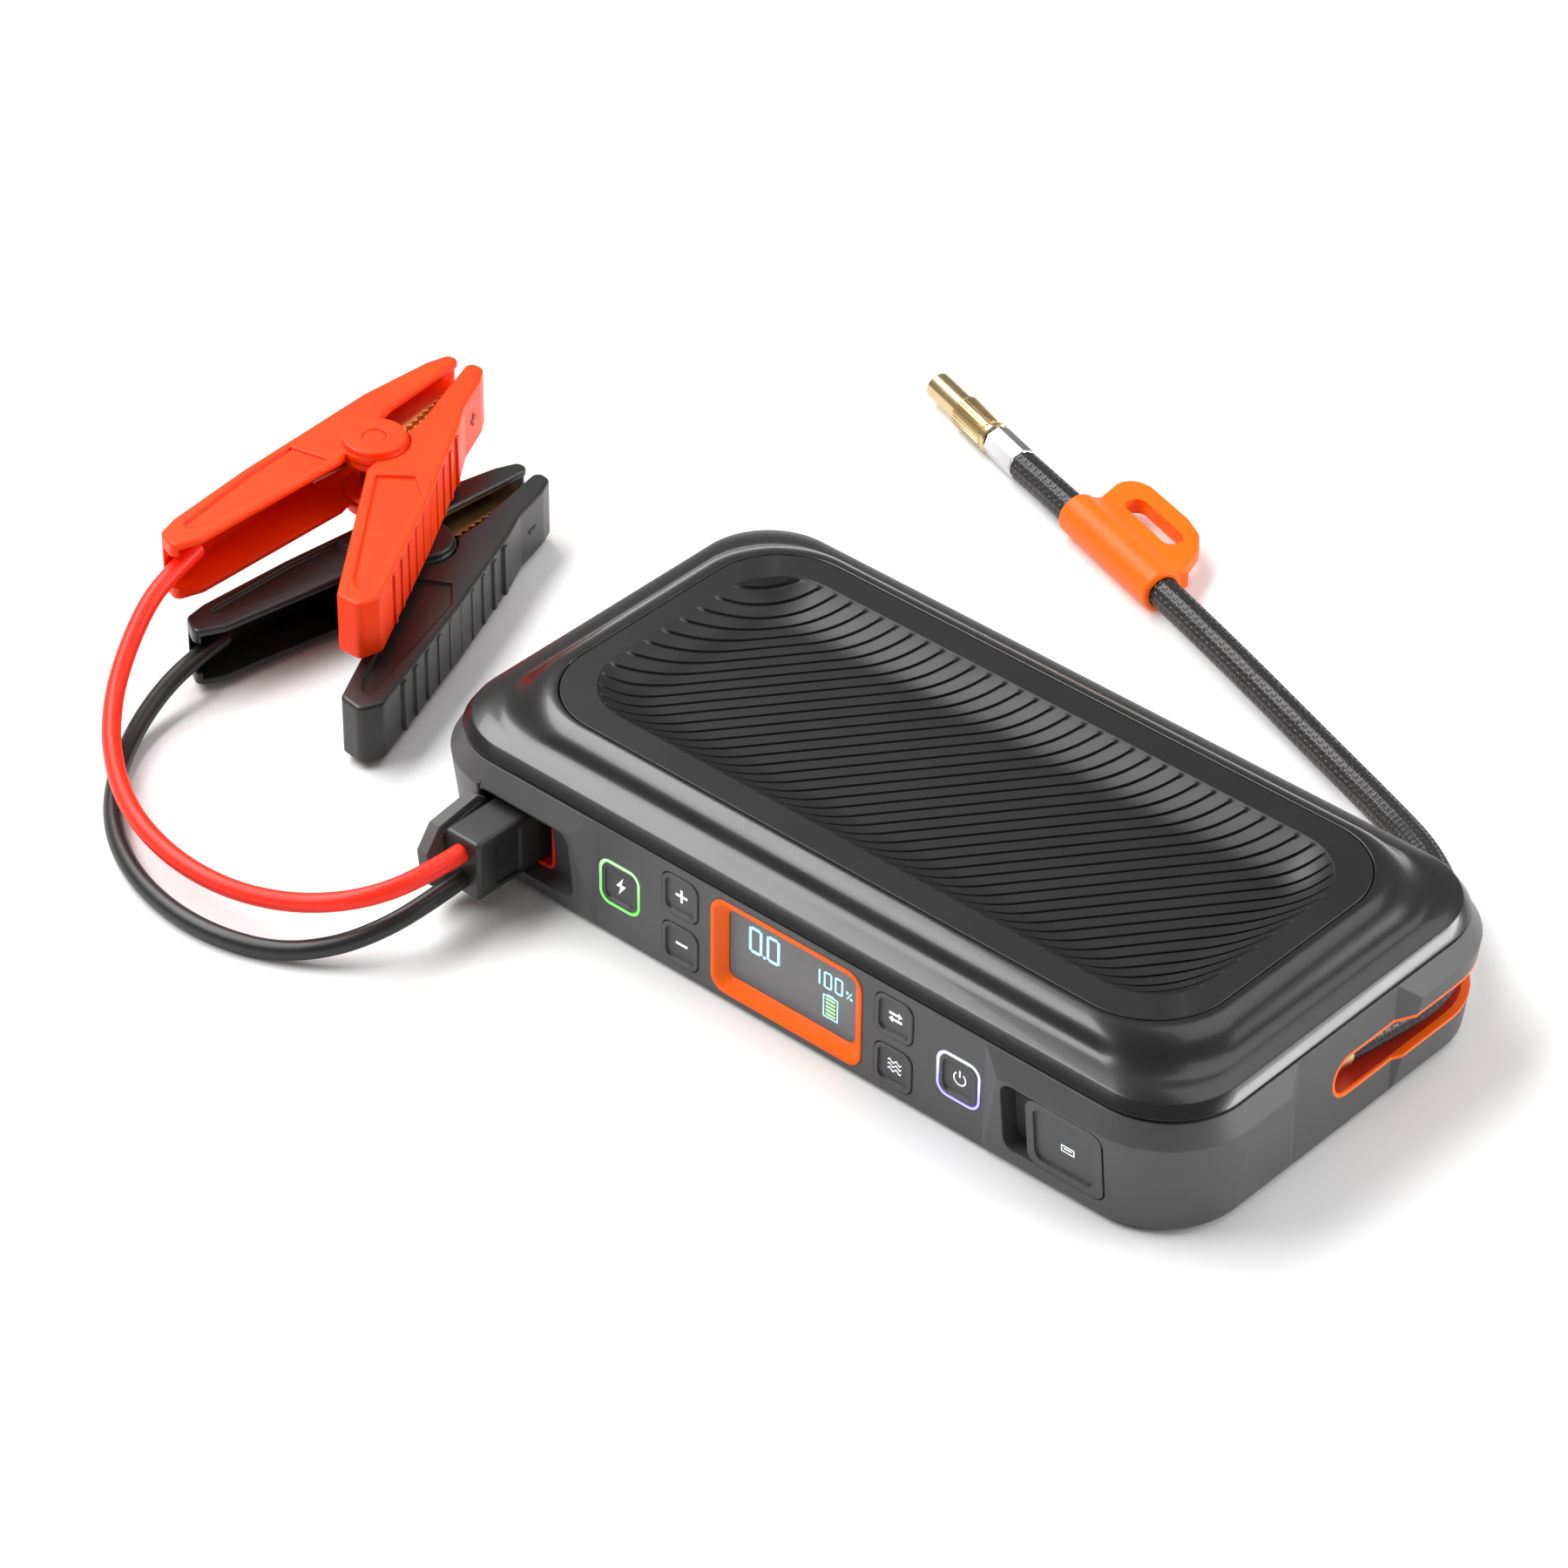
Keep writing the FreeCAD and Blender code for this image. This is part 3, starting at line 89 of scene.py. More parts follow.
def ramp_into(mat, source, low, high, socket):
    """Colours a value by two stops, each (position, colour), into a shader socket."""
    tree, links, shader = nodes_of(mat)
    ramp = tree.new("ShaderNodeValToRGB")
    for element, (position, colour) in zip(ramp.color_ramp.elements, (low, high)):
        element.position = position
        element.color = (*colour, 1)
    links.new(source, ramp.inputs["Fac"])
    links.new(ramp.outputs["Color"], shader.inputs[socket])


def grain(mat, scale, height, strength, edge):
    """Moulded texture as bump, over edges rounded in the shading."""
    tree, links, shader = nodes_of(mat)
    noise = object_noise(mat, scale, 2.0)
    bump = tree.new("ShaderNodeBump")
    bump.inputs["Strength"].default_value = strength
    bump.inputs["Distance"].default_value = height
    links.new(noise.outputs["Fac"], bump.inputs["Height"])
    if edge:
        bevel = tree.new("ShaderNodeBevel")
        bevel.samples = 6
        bevel.inputs["Radius"].default_value = edge
        links.new(bevel.outputs["Normal"], bump.inputs["Normal"])
    links.new(bump.outputs["Normal"], shader.inputs["Normal"])
    return mat


def vary(mat, colour, spread, scale, rough, rough_spread):
    """Slow drift in colour and roughness, as moulded and handled surfaces have."""
    tree, links, shader = nodes_of(mat)
    noise = object_noise(mat, scale, 4.0)
    darker = [c * (1 - spread) for c in colour]
    paler = [min(1, c * (1 + spread)) for c in colour]
    ramp_into(mat, noise.outputs["Fac"], (0.3, darker), (0.7, paler), "Base Color")
    gloss = tree.new("ShaderNodeMapRange")
    gloss.inputs["To Min"].default_value = rough - rough_spread
    gloss.inputs["To Max"].default_value = rough + rough_spread
    links.new(noise.outputs["Fac"], gloss.inputs["Value"])
    links.new(gloss.outputs["Result"], shader.inputs["Roughness"])


def plastic(name, colour, rough, scale=1400.0, strength=0.3, edge=0.0005, coat=0.0, **more):
    """Moulded plastic: grain, soft edges, and a slow drift in colour and gloss."""
    mat = material(name, colour, rough, coat=coat, **more)
    vary(mat, colour, 0.08, 45.0, rough, 0.05)
    return grain(mat, scale, 0.00005, strength, edge)


def metal(name, colour, rough, edge=0.0003, strength=0.12):
    """Bare metal with a fine grain; edge 0 keeps small machined detail crisp."""
    mat = material(name, colour, rough, metal=1.0)
    vary(mat, colour, 0.06, 120.0, rough, 0.05)
    return grain(mat, 900.0, 0.00003, strength, edge)


def glow(name, colour, power):
    """A glowing mark: lit digits and rings, and white print with a painted glow."""
    return material(name, colour, 0.35, Emission_Color=(*colour, 1), Emission_Strength=power)


def lit_ring(name, low, high, power):
    """A light ring that is paler at its top, where the lamp sits."""
    mat = glow(name, high, power)
    tree, links, _ = nodes_of(mat)
    place = tree.new("ShaderNodeTexCoord")
    split = tree.new("ShaderNodeSeparateXYZ")
    links.new(place.outputs["Generated"], split.inputs["Vector"])
    ramp_into(mat, split.outputs["Z"], (0.35, low), (1.0, high), "Emission Color")
    return mat


RIM_BLUR = 0.0002


def rimmed(name, inside, rim, half, corner, depth):
    """A liner that is one colour inside and another along its rim in the pack's side.

    Half and corner give the rounded rectangle of the pack's side seen from above, and
    depth is how far in from it the rim's colour reaches.
    """
    mat = plastic(name, inside, 0.42, 1500.0, 0.2, 0.0003)
    tree, links, shader = nodes_of(mat)
    place = tree.new("ShaderNodeTexCoord")
    folded = tree.new("ShaderNodeVectorMath")
    folded.operation = "ABSOLUTE"
    from_core = tree.new("ShaderNodeVectorMath")
    from_core.operation = "SUBTRACT"
    from_core.inputs[1].default_value = (half[0] - corner, half[1] - corner, 1)
    outside = tree.new("ShaderNodeVectorMath")
    outside.operation = "MAXIMUM"
    outside.inputs[1].default_value = (0, 0, 0)
    reach = tree.new("ShaderNodeVectorMath")
    reach.operation = "LENGTH"
    near = tree.new("ShaderNodeMapRange")
    near.inputs["From Min"].default_value = corner - depth - RIM_BLUR
    near.inputs["From Max"].default_value = corner - depth
    mix = tree.new("ShaderNodeMix")
    mix.data_type = "RGBA"
    mix.inputs["A"].default_value = (*inside, 1)
    mix.inputs["B"].default_value = (*rim, 1)
    links.new(place.outputs["Object"], folded.inputs[0])
    links.new(folded.outputs["Vector"], from_core.inputs[0])
    links.new(from_core.outputs["Vector"], outside.inputs[0])
    links.new(outside.outputs["Vector"], reach.inputs[0])
    links.new(reach.outputs["Value"], near.inputs["Value"])
    links.new(near.outputs["Result"], mix.inputs["Factor"])
    links.new(mix.outputs["Result"], shader.inputs["Base Color"])
    return mat


def flecked(name, colour, fleck):
    """A braid's yarn with small pale flecks along it."""
    mat = plastic(name, colour, 0.36, 2600.0, 0.1, 0.0)
    noise = object_noise(mat, 1100.0, 2.0)
    ramp_into(mat, noise.outputs["Fac"], (0.62, colour), (0.7, fleck), "Base Color")
    return mat


HOUSING = plastic("housing_grey", (0.066, 0.066, 0.068), 0.42, 1500.0, 0.3, 0.0007)
COVER = plastic("cover_black", (0.006, 0.006, 0.0062), 0.27, 1800.0, 0.05, 0.0005, coat=0.15)
MAT_BLACK = plastic("grip_black", (0.0055, 0.0055, 0.0057), 0.42, 2200.0, 0.25, 0.0003,
                    Specular_IOR_Level=0.38)
GASKET = plastic("gasket_black", (0.006, 0.006, 0.006), 0.7, 1500.0, 0.3, 0.0)
ORANGE = plastic("orange_plastic", (1.0, 0.13, 0.0), 0.42, 1600.0, 0.12, 0.0006,
                 Specular_IOR_Level=0.25)
KEY = plastic("key_grey", (0.058, 0.058, 0.06), 0.4, 1800.0, 0.2, 0.0003)
PLUG = plastic("plug_black", (0.016, 0.016, 0.0165), 0.42, 1500.0, 0.3, 0.0006)
LID = plastic("lid_grey", (0.056, 0.056, 0.058), 0.42, 1700.0, 0.3, 0.0004)
FLAP = plastic("flap_grey", (0.09, 0.09, 0.092), 0.62, 1400.0, 0.45, 0.0005)
LINER = plastic("liner_red", (0.95, 0.025, 0.004), 0.42, 1500.0, 0.2, 0.0003)
CLAMP_RED = plastic("clamp_red", (1.0, 0.045, 0.0), 0.4, 1500.0, 0.2, 0.0011,
                    Specular_IOR_Level=0.25)
CLAMP_BLACK = plastic("clamp_black", (0.012, 0.012, 0.0125), 0.34, 1500.0, 0.2, 0.0011)
CABLE_RED = plastic("cable_red", (0.95, 0.022, 0.004), 0.42, 1200.0, 0.2, 0.0,
                    Specular_IOR_Level=0.35)
CABLE_BLACK = plastic("cable_black", (0.01, 0.01, 0.01), 0.4, 1200.0, 0.2, 0.0)
INNER = plastic("inner_black", (0.02, 0.02, 0.02), 0.55)
CELL = plastic("cell_blue", (0.03, 0.1, 0.36), 0.3)
BOARD = plastic("board_green", (0.01, 0.12, 0.045), 0.35)
NYLON = plastic("nylon_white", (0.72, 0.72, 0.68), 0.45)
COPPER = metal("jaw_copper", (1.0, 0.52, 0.2), 0.34)
BRASS = metal("chuck_brass", (0.62, 0.48, 0.26), 0.24, 0.0, 0.04)
CONTACT = metal("contact_brass", (0.8, 0.62, 0.3), 0.3)
CHROME = metal("chrome", (0.6, 0.6, 0.61), 0.14, 0.0, 0.03)
STEEL = metal("steel", (0.55, 0.55, 0.56), 0.32)
ALLOY = metal("pump_alloy", (0.68, 0.68, 0.7), 0.4)
GREEN = lit_ring("light_green", (0.02, 0.6, 0.005), (0.35, 1.0, 0.3), 1.5)
VIOLET = lit_ring("light_violet", (0.06, 0.03, 0.75), (0.75, 0.75, 1.0), 1.6)
# The white print glows faintly: painted light on marks that are no lamp.
WHITE_PRINT_PAINTED_GLOW = glow("print_white_painted_glow", (0.9, 0.92, 0.95), 0.35)
CYAN = glow("digit_cyan", (0.35, 0.85, 1.0), 1.3)
LIME = glow("digit_green", (0.35, 1.0, 0.3), 1.3)
SCREEN = plastic("display_dark", (0.13, 0.13, 0.135), 0.4, 1500.0, 0.05, 0.0002,
                 Emission_Color=(1, 1, 1, 1), Emission_Strength=0.08)
GLASS = material("lens_clear", (0.5, 0.52, 0.55), 0.04, Alpha=0.1)
CHANNEL = rimmed("channel_red", (0.42, 0.02, 0.006), (1.0, 0.14, 0.0),
                 half=(0.135, 0.0717), corner=0.0278, depth=0.0042)
BRAID = flecked("braid_black", (0.008, 0.008, 0.008), (0.06, 0.06, 0.06))

# Every CAD node's material; a piece that stands for a node brings its own.
PLAIN = {
    "lower_housing": HOUSING, "top_cover": COVER, "grip_mat": MAT_BLACK,
    "seam_gasket": GASKET, "base_pad": GASKET, "display_bezel": ORANGE,
    "display_lens": GLASS, "display_panel": SCREEN, "jump_light_ring": GREEN,
    "usb_light_ring": VIOLET, "jump_button": KEY, "usb_button": KEY, "plus_button": KEY,
    "minus_button": KEY, "unit_button": KEY, "air_button": KEY, "usb_lid": LID,
    "usb_lid_pin": STEEL, "usb_module": INNER, "port_flap": FLAP, "port_flap_pin": INNER,
    "jump_socket": LINER, "socket_contacts": CONTACT, "channel_liner": CHANNEL,
    "hose_fitting": CONTACT, "housing_screws": STEEL, "battery_cells": CELL,
    "battery_tray": INNER, "main_board": BOARD, "key_board": BOARD,
    "compressor_motor": STEEL, "motor_pinion": CONTACT, "crank_gear": NYLON,
    "pump_frame": ALLOY, "pump_cylinder": ALLOY, "pump_piston": NYLON,
    "hose_tab": ORANGE, "hose_ferrule": CHROME, "chuck_stem": CONTACT,
    "chuck_seal": GASKET, "chuck_collar": BRASS, "jump_plug": PLUG,
    "plug_contacts": CONTACT, "air_hose": CABLE_BLACK, "red_cable": CABLE_RED,
    "black_cable": CABLE_BLACK,
}
for colour, body_mat in (("red", CLAMP_RED), ("black", CLAMP_BLACK)):
    for part, mat in (("cable_half", body_mat), ("squeeze_half", body_mat),
                      ("pivot_pin", body_mat), ("spring", STEEL), ("fixed_jaw", COPPER),
                      ("moving_jaw", COPPER)):
        PLAIN[f"{colour}_{part}"] = mat
for name, mat in PLAIN.items():
    nodes[name].data.materials.clear()
    nodes[name].data.materials.append(mat)


# ---------------------------------------------------------------- making pieces

SOFT_SEGMENTS, SOFT_ANGLE, SOFT_SMOOTH = 3, math.radians(28), math.radians(32)


def add_piece(name, mesh, body, mat, smooth=0):
    """Links a mesh as a piece that rides on a body, smooth up to an angle in degrees."""
    piece = bpy.data.objects.new(name, mesh)
    bpy.context.scene.collection.objects.link(piece)
    mesh.materials.clear()
    mesh.materials.append(mat)
    if smooth:
        mesh.shade_smooth()
        mesh.set_sharp_from_angle(angle=math.radians(smooth))
    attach(piece, body)
    return piece


def apply_modifiers(piece):
    """Turns a piece's modifiers into its own mesh."""
    bpy.context.view_layer.update()
    done = bpy.data.meshes.new_from_object(
        piece.evaluated_get(bpy.context.evaluated_depsgraph_get()))
    piece.modifiers.clear()
    piece.data = done
    return piece


def closed_mesh(name, verts, faces):
    """A mesh whose faces all look outwards."""
    mesh = bpy.data.meshes.new(name)
    mesh.from_pydata(verts, [], faces)
    shape = bmesh.new()
    shape.from_mesh(mesh)
    bmesh.ops.recalc_face_normals(shape, faces=shape.faces)
    shape.to_mesh(mesh)
    shape.free()
    return mesh


def ring_faces(rows, around):
    """Quads between neighbouring rings of points."""
    faces = []
    for i in range(rows - 1):
        for k in range(around):
            a, b = i * around + k, i * around + (k + 1) % around
            faces.append((a, b, b + around, a + around))
    return faces


def end_caps(rows, around):
    """One face over the first ring and one over the last."""
    return [tuple(range(around))[::-1], tuple((rows - 1) * around + k for k in range(around))]


def soft_copy(node, body, mat, width):
    """A copy of a CAD node with its edges rounded, which stands for the node."""
    mesh = nodes[node].data.copy()
    shape = bmesh.new()
    shape.from_mesh(mesh)
    bmesh.ops.remove_doubles(shape, verts=shape.verts, dist=1e-6)
    bmesh.ops.dissolve_limit(shape, angle_limit=math.radians(1.0), verts=shape.verts,
                             edges=shape.edges)
    shape.to_mesh(mesh)
    shape.free()
    if mesh.has_custom_normals:
        mesh.attributes.remove(mesh.attributes["custom_normal"])
    piece = add_piece(node + "_soft", mesh, body, mat)
    bevel = piece.modifiers.new("Edges", "BEVEL")
    bevel.width = width * MM
    bevel.segments = SOFT_SEGMENTS
    bevel.limit_method = "ANGLE"
    bevel.angle_limit = SOFT_ANGLE
    bevel.harden_normals = False
    apply_modifiers(piece)
    piece.data.shade_smooth()
    piece.data.set_sharp_from_angle(angle=SOFT_SMOOTH)
    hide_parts(node)
    return piece


# ---------------------------------------------------------------- routes

RED_ROUTE = [
    (-98.15, -89, 22), (-98.4, -103, 21.8), (-103.6, -116.4, 20), (-114.8, -125.4, 16.6),
    (-130.8, -130, 12.2), (-149.5, -132, 9.2), (-170, -131.2, 9), (-190.5, -126, 11.4),
    (-211.5, -112, 12.4), (-225.2, -98, 15.4), (-232, -86, 22), (-236.6, -73, 29.4),
    (-238.6, -62.1, 32.7), (-241.7, -49, 33.1)]
BLACK_ROUTE = [
    (-98.15, -89, 13.4), (-98.1, -102, 12.6), (-101.2, -115, 9.8), (-109, -126.5, 5.8),
    (-121.5, -136, 2.85), (-138, -142, 2.85), (-156.5, -142.8, 2.85), (-176, -138.2, 2.85),
    (-194.5, -128, 2.85), (-209.5, -113, 2.85), (-220, -97, 3.6), (-225.4, -81.5, 7.2),
    (-226.6, -67, 11.2), (-227.6, -53.1, 11.8)]
HOSE_ROUTE = [
    (123.4, 9, 18.2), (125.8, 24, 18.2), (127.8, 43, 18.2), (120.4, 61, 18.2),
    (104.5, 79, 17.6), (87, 94.5, 13.2), (66.5, 107.5, 7.6), (36, 120.9, 5),
    (-30, 144, 6.7), (-94, 164.9, 6.7), (-123.3, 174.8, 5.45)]


# ---------------------------------------------------------------- air chuck

CHUCK_START = Vector(HOSE_ROUTE[-1])
CHUCK_LINE = Vector(joints["chuck_turn"]["axis"]).normalized()
KNURL_POINTS, KNURL_CUT = 6, (4, 5)
COLLAR_START, COLLAR_AROUND, FERRULE_FACETS = 15.3, 168, 8

# Rows of (along the chuck, radius, knurl depth). The collar runs outside from its back
# face to its nose, then returns through its bore.
COLLAR = [(0, 2.25, 0), (0, 4.6, 0), (0.5, 5.1, 0), (1.6, 5.1, 0), (1.8, 4.85, 0),
          (2.3, 4.85, 0), (2.35, 5.0, 0.15), (2.7, 5.3, 0.45), (17.4, 5.3, 0.45),
          (17.9, 4.9, 0.1), (18.0, 4.4, 0), (33.6, 4.4, 0), (34.0, 4.1, 0), (34.0, 3.6, 0),
          (17.6, 3.6, 0), (17.6, 3.8, 0), (14.0, 3.8, 0), (14.0, 2.25, 0)]
FERRULE = [(0.02, 4.6, 0), (0.3, 5.0, 0), (0.7, 5.1, 0), (14.4, 5.1, 0), (14.95, 4.6, 0)]


def turned(name, rows, around, body, mat, replaced, smooth, hollow=False):
    """A turned shape along the chuck's line; a hollow one closes on its own first row."""
    up = Vector((0, 0, 1))
    side = up.cross(CHUCK_LINE).normalized()
    verts = []
    for along, radius, knurl in rows:
        for k in range(around):
            angle = 2 * math.pi * k / around
            r = radius - (knurl if k % KNURL_POINTS in KNURL_CUT else 0)
            verts.append((CHUCK_START + CHUCK_LINE * along
                          + (side * math.cos(angle) + up * math.sin(angle)) * r) * MM)
    faces = ring_faces(len(rows), around)
    if hollow:
        last = (len(rows) - 1) * around
        for k in range(around):
            n = (k + 1) % around
            faces.append((last + k, last + n, n, k))
    else:
        faces += end_caps(len(rows), around)
    piece = add_piece(name, closed_mesh(name, verts, faces), body, mat, smooth)
    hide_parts(replaced)
    return piece


def make_chuck():
    """The knurled collar and the faceted ferrule, given back with the parts between."""
    collar = [(COLLAR_START + along, radius, knurl) for along, radius, knurl in COLLAR]
    knurled = turned("chuck_collar_knurled", collar, COLLAR_AROUND, "chuck_grip",
                     BRASS, "chuck_collar", 24, hollow=True)
    faceted = turned("hose_ferrule_faceted", FERRULE, FERRULE_FACETS, "pack",
                     CHROME, "hose_ferrule", 20)
    return [knurled, faceted, nodes["chuck_stem"], nodes["chuck_seal"]]


# ---------------------------------------------------------------- cords

CABLE_RADIUS, HOSE_RADIUS, BRAID_LIFT = 2.75, 4.85, 0.62
CURVE_STEPS, GUIDE_STEPS, PATH_SKIP = 12, 40, 8
BRAID_AROUND, BRAID_STRANDS, STRAND_ROUND = 96, 6, 0.6
# These two follow the evaluated line, so they are in metres.
HOSE_STEP, BRAID_PITCH = 0.00045, 0.0165


def spline_object(name, route, radius):
    """A smooth NURBS line through a route's control points, in metres."""
    curve = bpy.data.curves.new(name, "CURVE")
    curve.dimensions = "3D"
    curve.resolution_u = CURVE_STEPS
    curve.bevel_depth = radius * MM
    curve.bevel_resolution = 6
    curve.use_fill_caps = radius > 0
    line = curve.splines.new("NURBS")
    line.points.add(len(route) - 1)
    for point, (x, y, z) in zip(line.points, route):
        point.co = (x * MM, y * MM, z * MM, 1)
    line.order_u = 3
    line.use_endpoint_u = True
    line.resolution_u = CURVE_STEPS
    piece = bpy.data.objects.new(name, curve)
    bpy.context.scene.collection.objects.link(piece)
    return piece


def cable(name, node, route, mat):
    """A jumper cable along its route, which stands for its CAD node."""
    piece = spline_object(name, route, CABLE_RADIUS)
    piece.data.materials.append(mat)
    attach(piece, "jumper_lead")
    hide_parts(node)


def line_points(name, route):
    """Points along a route's own smooth spline, read from Blender."""
    guide = spline_object(name, route, 0)
    guide.data.resolution_u = GUIDE_STEPS
    guide.data.splines[0].resolution_u = GUIDE_STEPS
    bpy.context.view_layer.update()
    mesh = bpy.data.meshes.new_from_object(
        guide.evaluated_get(bpy.context.evaluated_depsgraph_get()))
    points = [v.co.copy() for v in mesh.vertices]
    bpy.data.objects.remove(guide)
    return points


def evenly(points, step):
    """The same line with points a fixed step apart."""
    lengths = [0.0]
    for a, b in zip(points, points[1:]):
        lengths.append(lengths[-1] + (b - a).length)
    count = max(2, round(lengths[-1] / step))
    out, at = [], 0
    for i in range(count + 1):
        want = lengths[-1] * i / count
        while at < len(lengths) - 2 and lengths[at + 1] < want:
            at += 1
        span = lengths[at + 1] - lengths[at]
        out.append(points[at].lerp(points[at + 1], (want - lengths[at]) / span))
    return out


HOSE_LINE = evenly(line_points("hose_guide", HOSE_ROUTE), HOSE_STEP)


def braid_height(turn, travelled):
    """How high the braid stands, from 0 in a gap to 1 on the back of a strand.

    Two sets of strands wind opposite ways and pass over and under each other.
    """
    a = (turn + travelled / BRAID_PITCH) * BRAID_STRANDS
    b = (turn - travelled / BRAID_PITCH) * BRAID_STRANDS
    over = math.sin(math.pi * (a + b)) * math.sin(math.pi * (a - b))
    first = abs(math.sin(math.pi * a)) ** STRAND_ROUND
    second = abs(math.sin(math.pi * b)) ** STRAND_ROUND
    return max(first * (0.5 + 0.5 * over), second * (0.5 - 0.5 * over))


def make_hose():
    """The braided hose and the chuck that sits on it; the tab on the hose stays the CAD node."""
    verts = []
    side = Vector((0, 0, 1))
    travelled = 0.0
    for i, point in enumerate(HOSE_LINE):
        ahead = HOSE_LINE[min(i + 1, len(HOSE_LINE) - 1)]
        behind = HOSE_LINE[max(i - 1, 0)]
        along = (ahead - behind).normalized()
        side = (side - along * side.dot(along)).normalized()
        other = along.cross(side)
        if i:
            travelled += (point - HOSE_LINE[i - 1]).length
        for k in range(BRAID_AROUND):
            turn = k / BRAID_AROUND
            angle = 2 * math.pi * turn
            radius = (HOSE_RADIUS - BRAID_LIFT * (1 - braid_height(turn, travelled))) * MM
            verts.append(point + (side * math.cos(angle) + other * math.sin(angle)) * radius)
    rows = len(HOSE_LINE)
    mesh = bpy.data.meshes.new("air_hose_braid")
    mesh.from_pydata(verts, [], ring_faces(rows, BRAID_AROUND) + end_caps(rows, BRAID_AROUND))
    piece = add_piece("air_hose_braid", mesh, "pack", BRAID, smooth=60)
    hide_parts("air_hose")
    [nodes["hose_tab"]] + make_chuck()


soft_plug = soft_copy("jump_plug", "jumper_lead", PLUG, 0.5)
cable("red_cable_line", "red_cable", RED_ROUTE, CABLE_RED)
cable("black_cable_line", "black_cable", BLACK_ROUTE, CABLE_BLACK)
make_hose()


# ---------------------------------------------------------------- top cover and grip mat

def rounded_loop(half_x, half_y, corner, z, steps=20):
    """Points round a rounded rectangle, the same number on every loop."""
    loop = []
    for quarter, (sx, sy) in enumerate(((1, 1), (-1, 1), (-1, -1), (1, -1))):
        for i in range(steps + 1):
            angle = math.pi / 2 * (quarter + i / steps)
            loop.append(Vector((sx * (half_x - corner) + corner * math.cos(angle),
                                sy * (half_y - corner) + corner * math.sin(angle), z)) * MM)
    return loop


def ring_solid(name, loops):
    """A closed solid through loops, capped at the first and last one."""
    rows, around = len(loops), len(loops[0])
    mesh = bpy.data.meshes.new(name)
    mesh.from_pydata([point for loop in loops for point in loop], [],
                     ring_faces(rows, around) + end_caps(rows, around))
    return mesh


def blend_points(points, steps):
    """A cubic curve through four control rows of numbers."""
    rows = []
    for i in range(1, steps + 1):
        t = i / steps
        weights = ((1 - t) ** 3, 3 * t * (1 - t) ** 2, 3 * t * t * (1 - t), t ** 3)
        rows.append([sum(w * row[k] for w, row in zip(weights, points)) for k in range(4)])
    return rows


# Rows of (half length, half width, corner, height), from the bottom lip up and inwards.
COVER_LIP = [(128.0, 64.7, 21.0, 38.6), (128.2, 64.9, 21.2, 36.95)]
COVER_EDGE = [(131.3, 68.0, 24.1, 36.95), (131.54, 68.24, 24.3, 37.2),
              (129.3, 66.0, 22.1, 40.4), (129.0, 65.7, 21.9, 40.63)]
COVER_SHELF = (124.4, 61.1, 22.0, 41.6)
COVER_RISE = [COVER_SHELF, (119.6, 57.4, 24.5, 42.3), (119.4, 57.8, 28.0, 47.6),
              (112.6, 51.8, 24.5, 48.5)]
COVER_INNER = [(111.9, 51.1, 23.9, 48.45), (111.7, 50.9, 23.7, 48.2),
               (111.7, 50.9, 23.7, 39.8)]
RISE_STEPS = 16


def make_cover():
    """The glossy shell: a sloped edge, a shelf, and a swept rise to the mat's opening."""
    rows = (COVER_LIP + COVER_EDGE + [COVER_SHELF] + blend_points(COVER_RISE, RISE_STEPS)
            + COVER_INNER)
    mesh = ring_solid("top_cover_shell", [rounded_loop(*row) for row in rows])
    piece = add_piece("top_cover_shell", mesh, "pack", COVER, smooth=28)
    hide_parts("top_cover")


# The dish is sunk into the mat, and its straight grooves run at a slant across it.
DISH_X, DISH_Y, DISH_ROUND = 104.0, 41.6, 20.0
DISH_DEPTH, DISH_SLOPE, DISH_POWER = 6.6, 17.0, 2.3
CORE_X, CORE_Y = DISH_X - DISH_ROUND, DISH_Y - DISH_ROUND
RIM_X, RIM_Y, RIM_ROUND, RIM_TOP, RIM_EDGE, MAT_BOTTOM = 111.4, 50.6, 23.4, 48.5, 0.25, 40.0
GROOVE_PITCH, GROOVE_HALF, GROOVE_WALL, GROOVE_DEPTH, GROOVE_FADE = 4.4, 0.5, 0.22, 0.7, 1.6
GROOVE_TURN = math.radians(52)
ALONG = Vector((math.cos(GROOVE_TURN), math.sin(GROOVE_TURN)))
ACROSS = Vector((-math.sin(GROOVE_TURN), math.cos(GROOVE_TURN)))
CHORD_SEARCH, CHORD_LIMIT, CHORD_HALVINGS = 150, 260.0, 36
MAT_COLUMNS, ROW_GAP, END_GAP = 84, 0.6, 0.3


def inside_dish(point):
    """How far a point lies inside the dish's outline."""
    qx, qy = abs(point.x) - CORE_X, abs(point.y) - CORE_Y
    outside = math.hypot(max(qx, 0), max(qy, 0)) + min(max(qx, qy), 0)
    return max(0.0, DISH_ROUND - outside)


def chord_base(w):
    """The deepest point of a chord across the dish, so that every chord has one."""
    best, place = -1.0, 0.0
    for i in range(-CHORD_SEARCH, CHORD_SEARCH + 1):
        depth = inside_dish(ACROSS * w + ALONG * i)
        if depth > best:
            best, place = depth, i
    return ACROSS * w + ALONG * place


def chord_end(base, sign):
    """How far a chord runs from its base to the dish's outline, found by halving."""
    low, high = 0.0, CHORD_LIMIT
    for _ in range(CHORD_HALVINGS):
        half = (low + high) / 2
        if inside_dish(base + ALONG * (sign * half)) > 0:
            low = half
        else:
            high = half
    return sign * low


def dish_height(depth, cut):
    """The mat's top at a depth inside the dish, where cut is 1 in a groove and else 0."""
    fall = DISH_DEPTH * (1 - (1 - min(1.0, depth / DISH_SLOPE)) ** DISH_POWER)
    fade = min(1.0, depth / GROOVE_FADE)
    return RIM_TOP - fall - cut * GROOVE_DEPTH * fade * fade * (3 - 2 * fade)


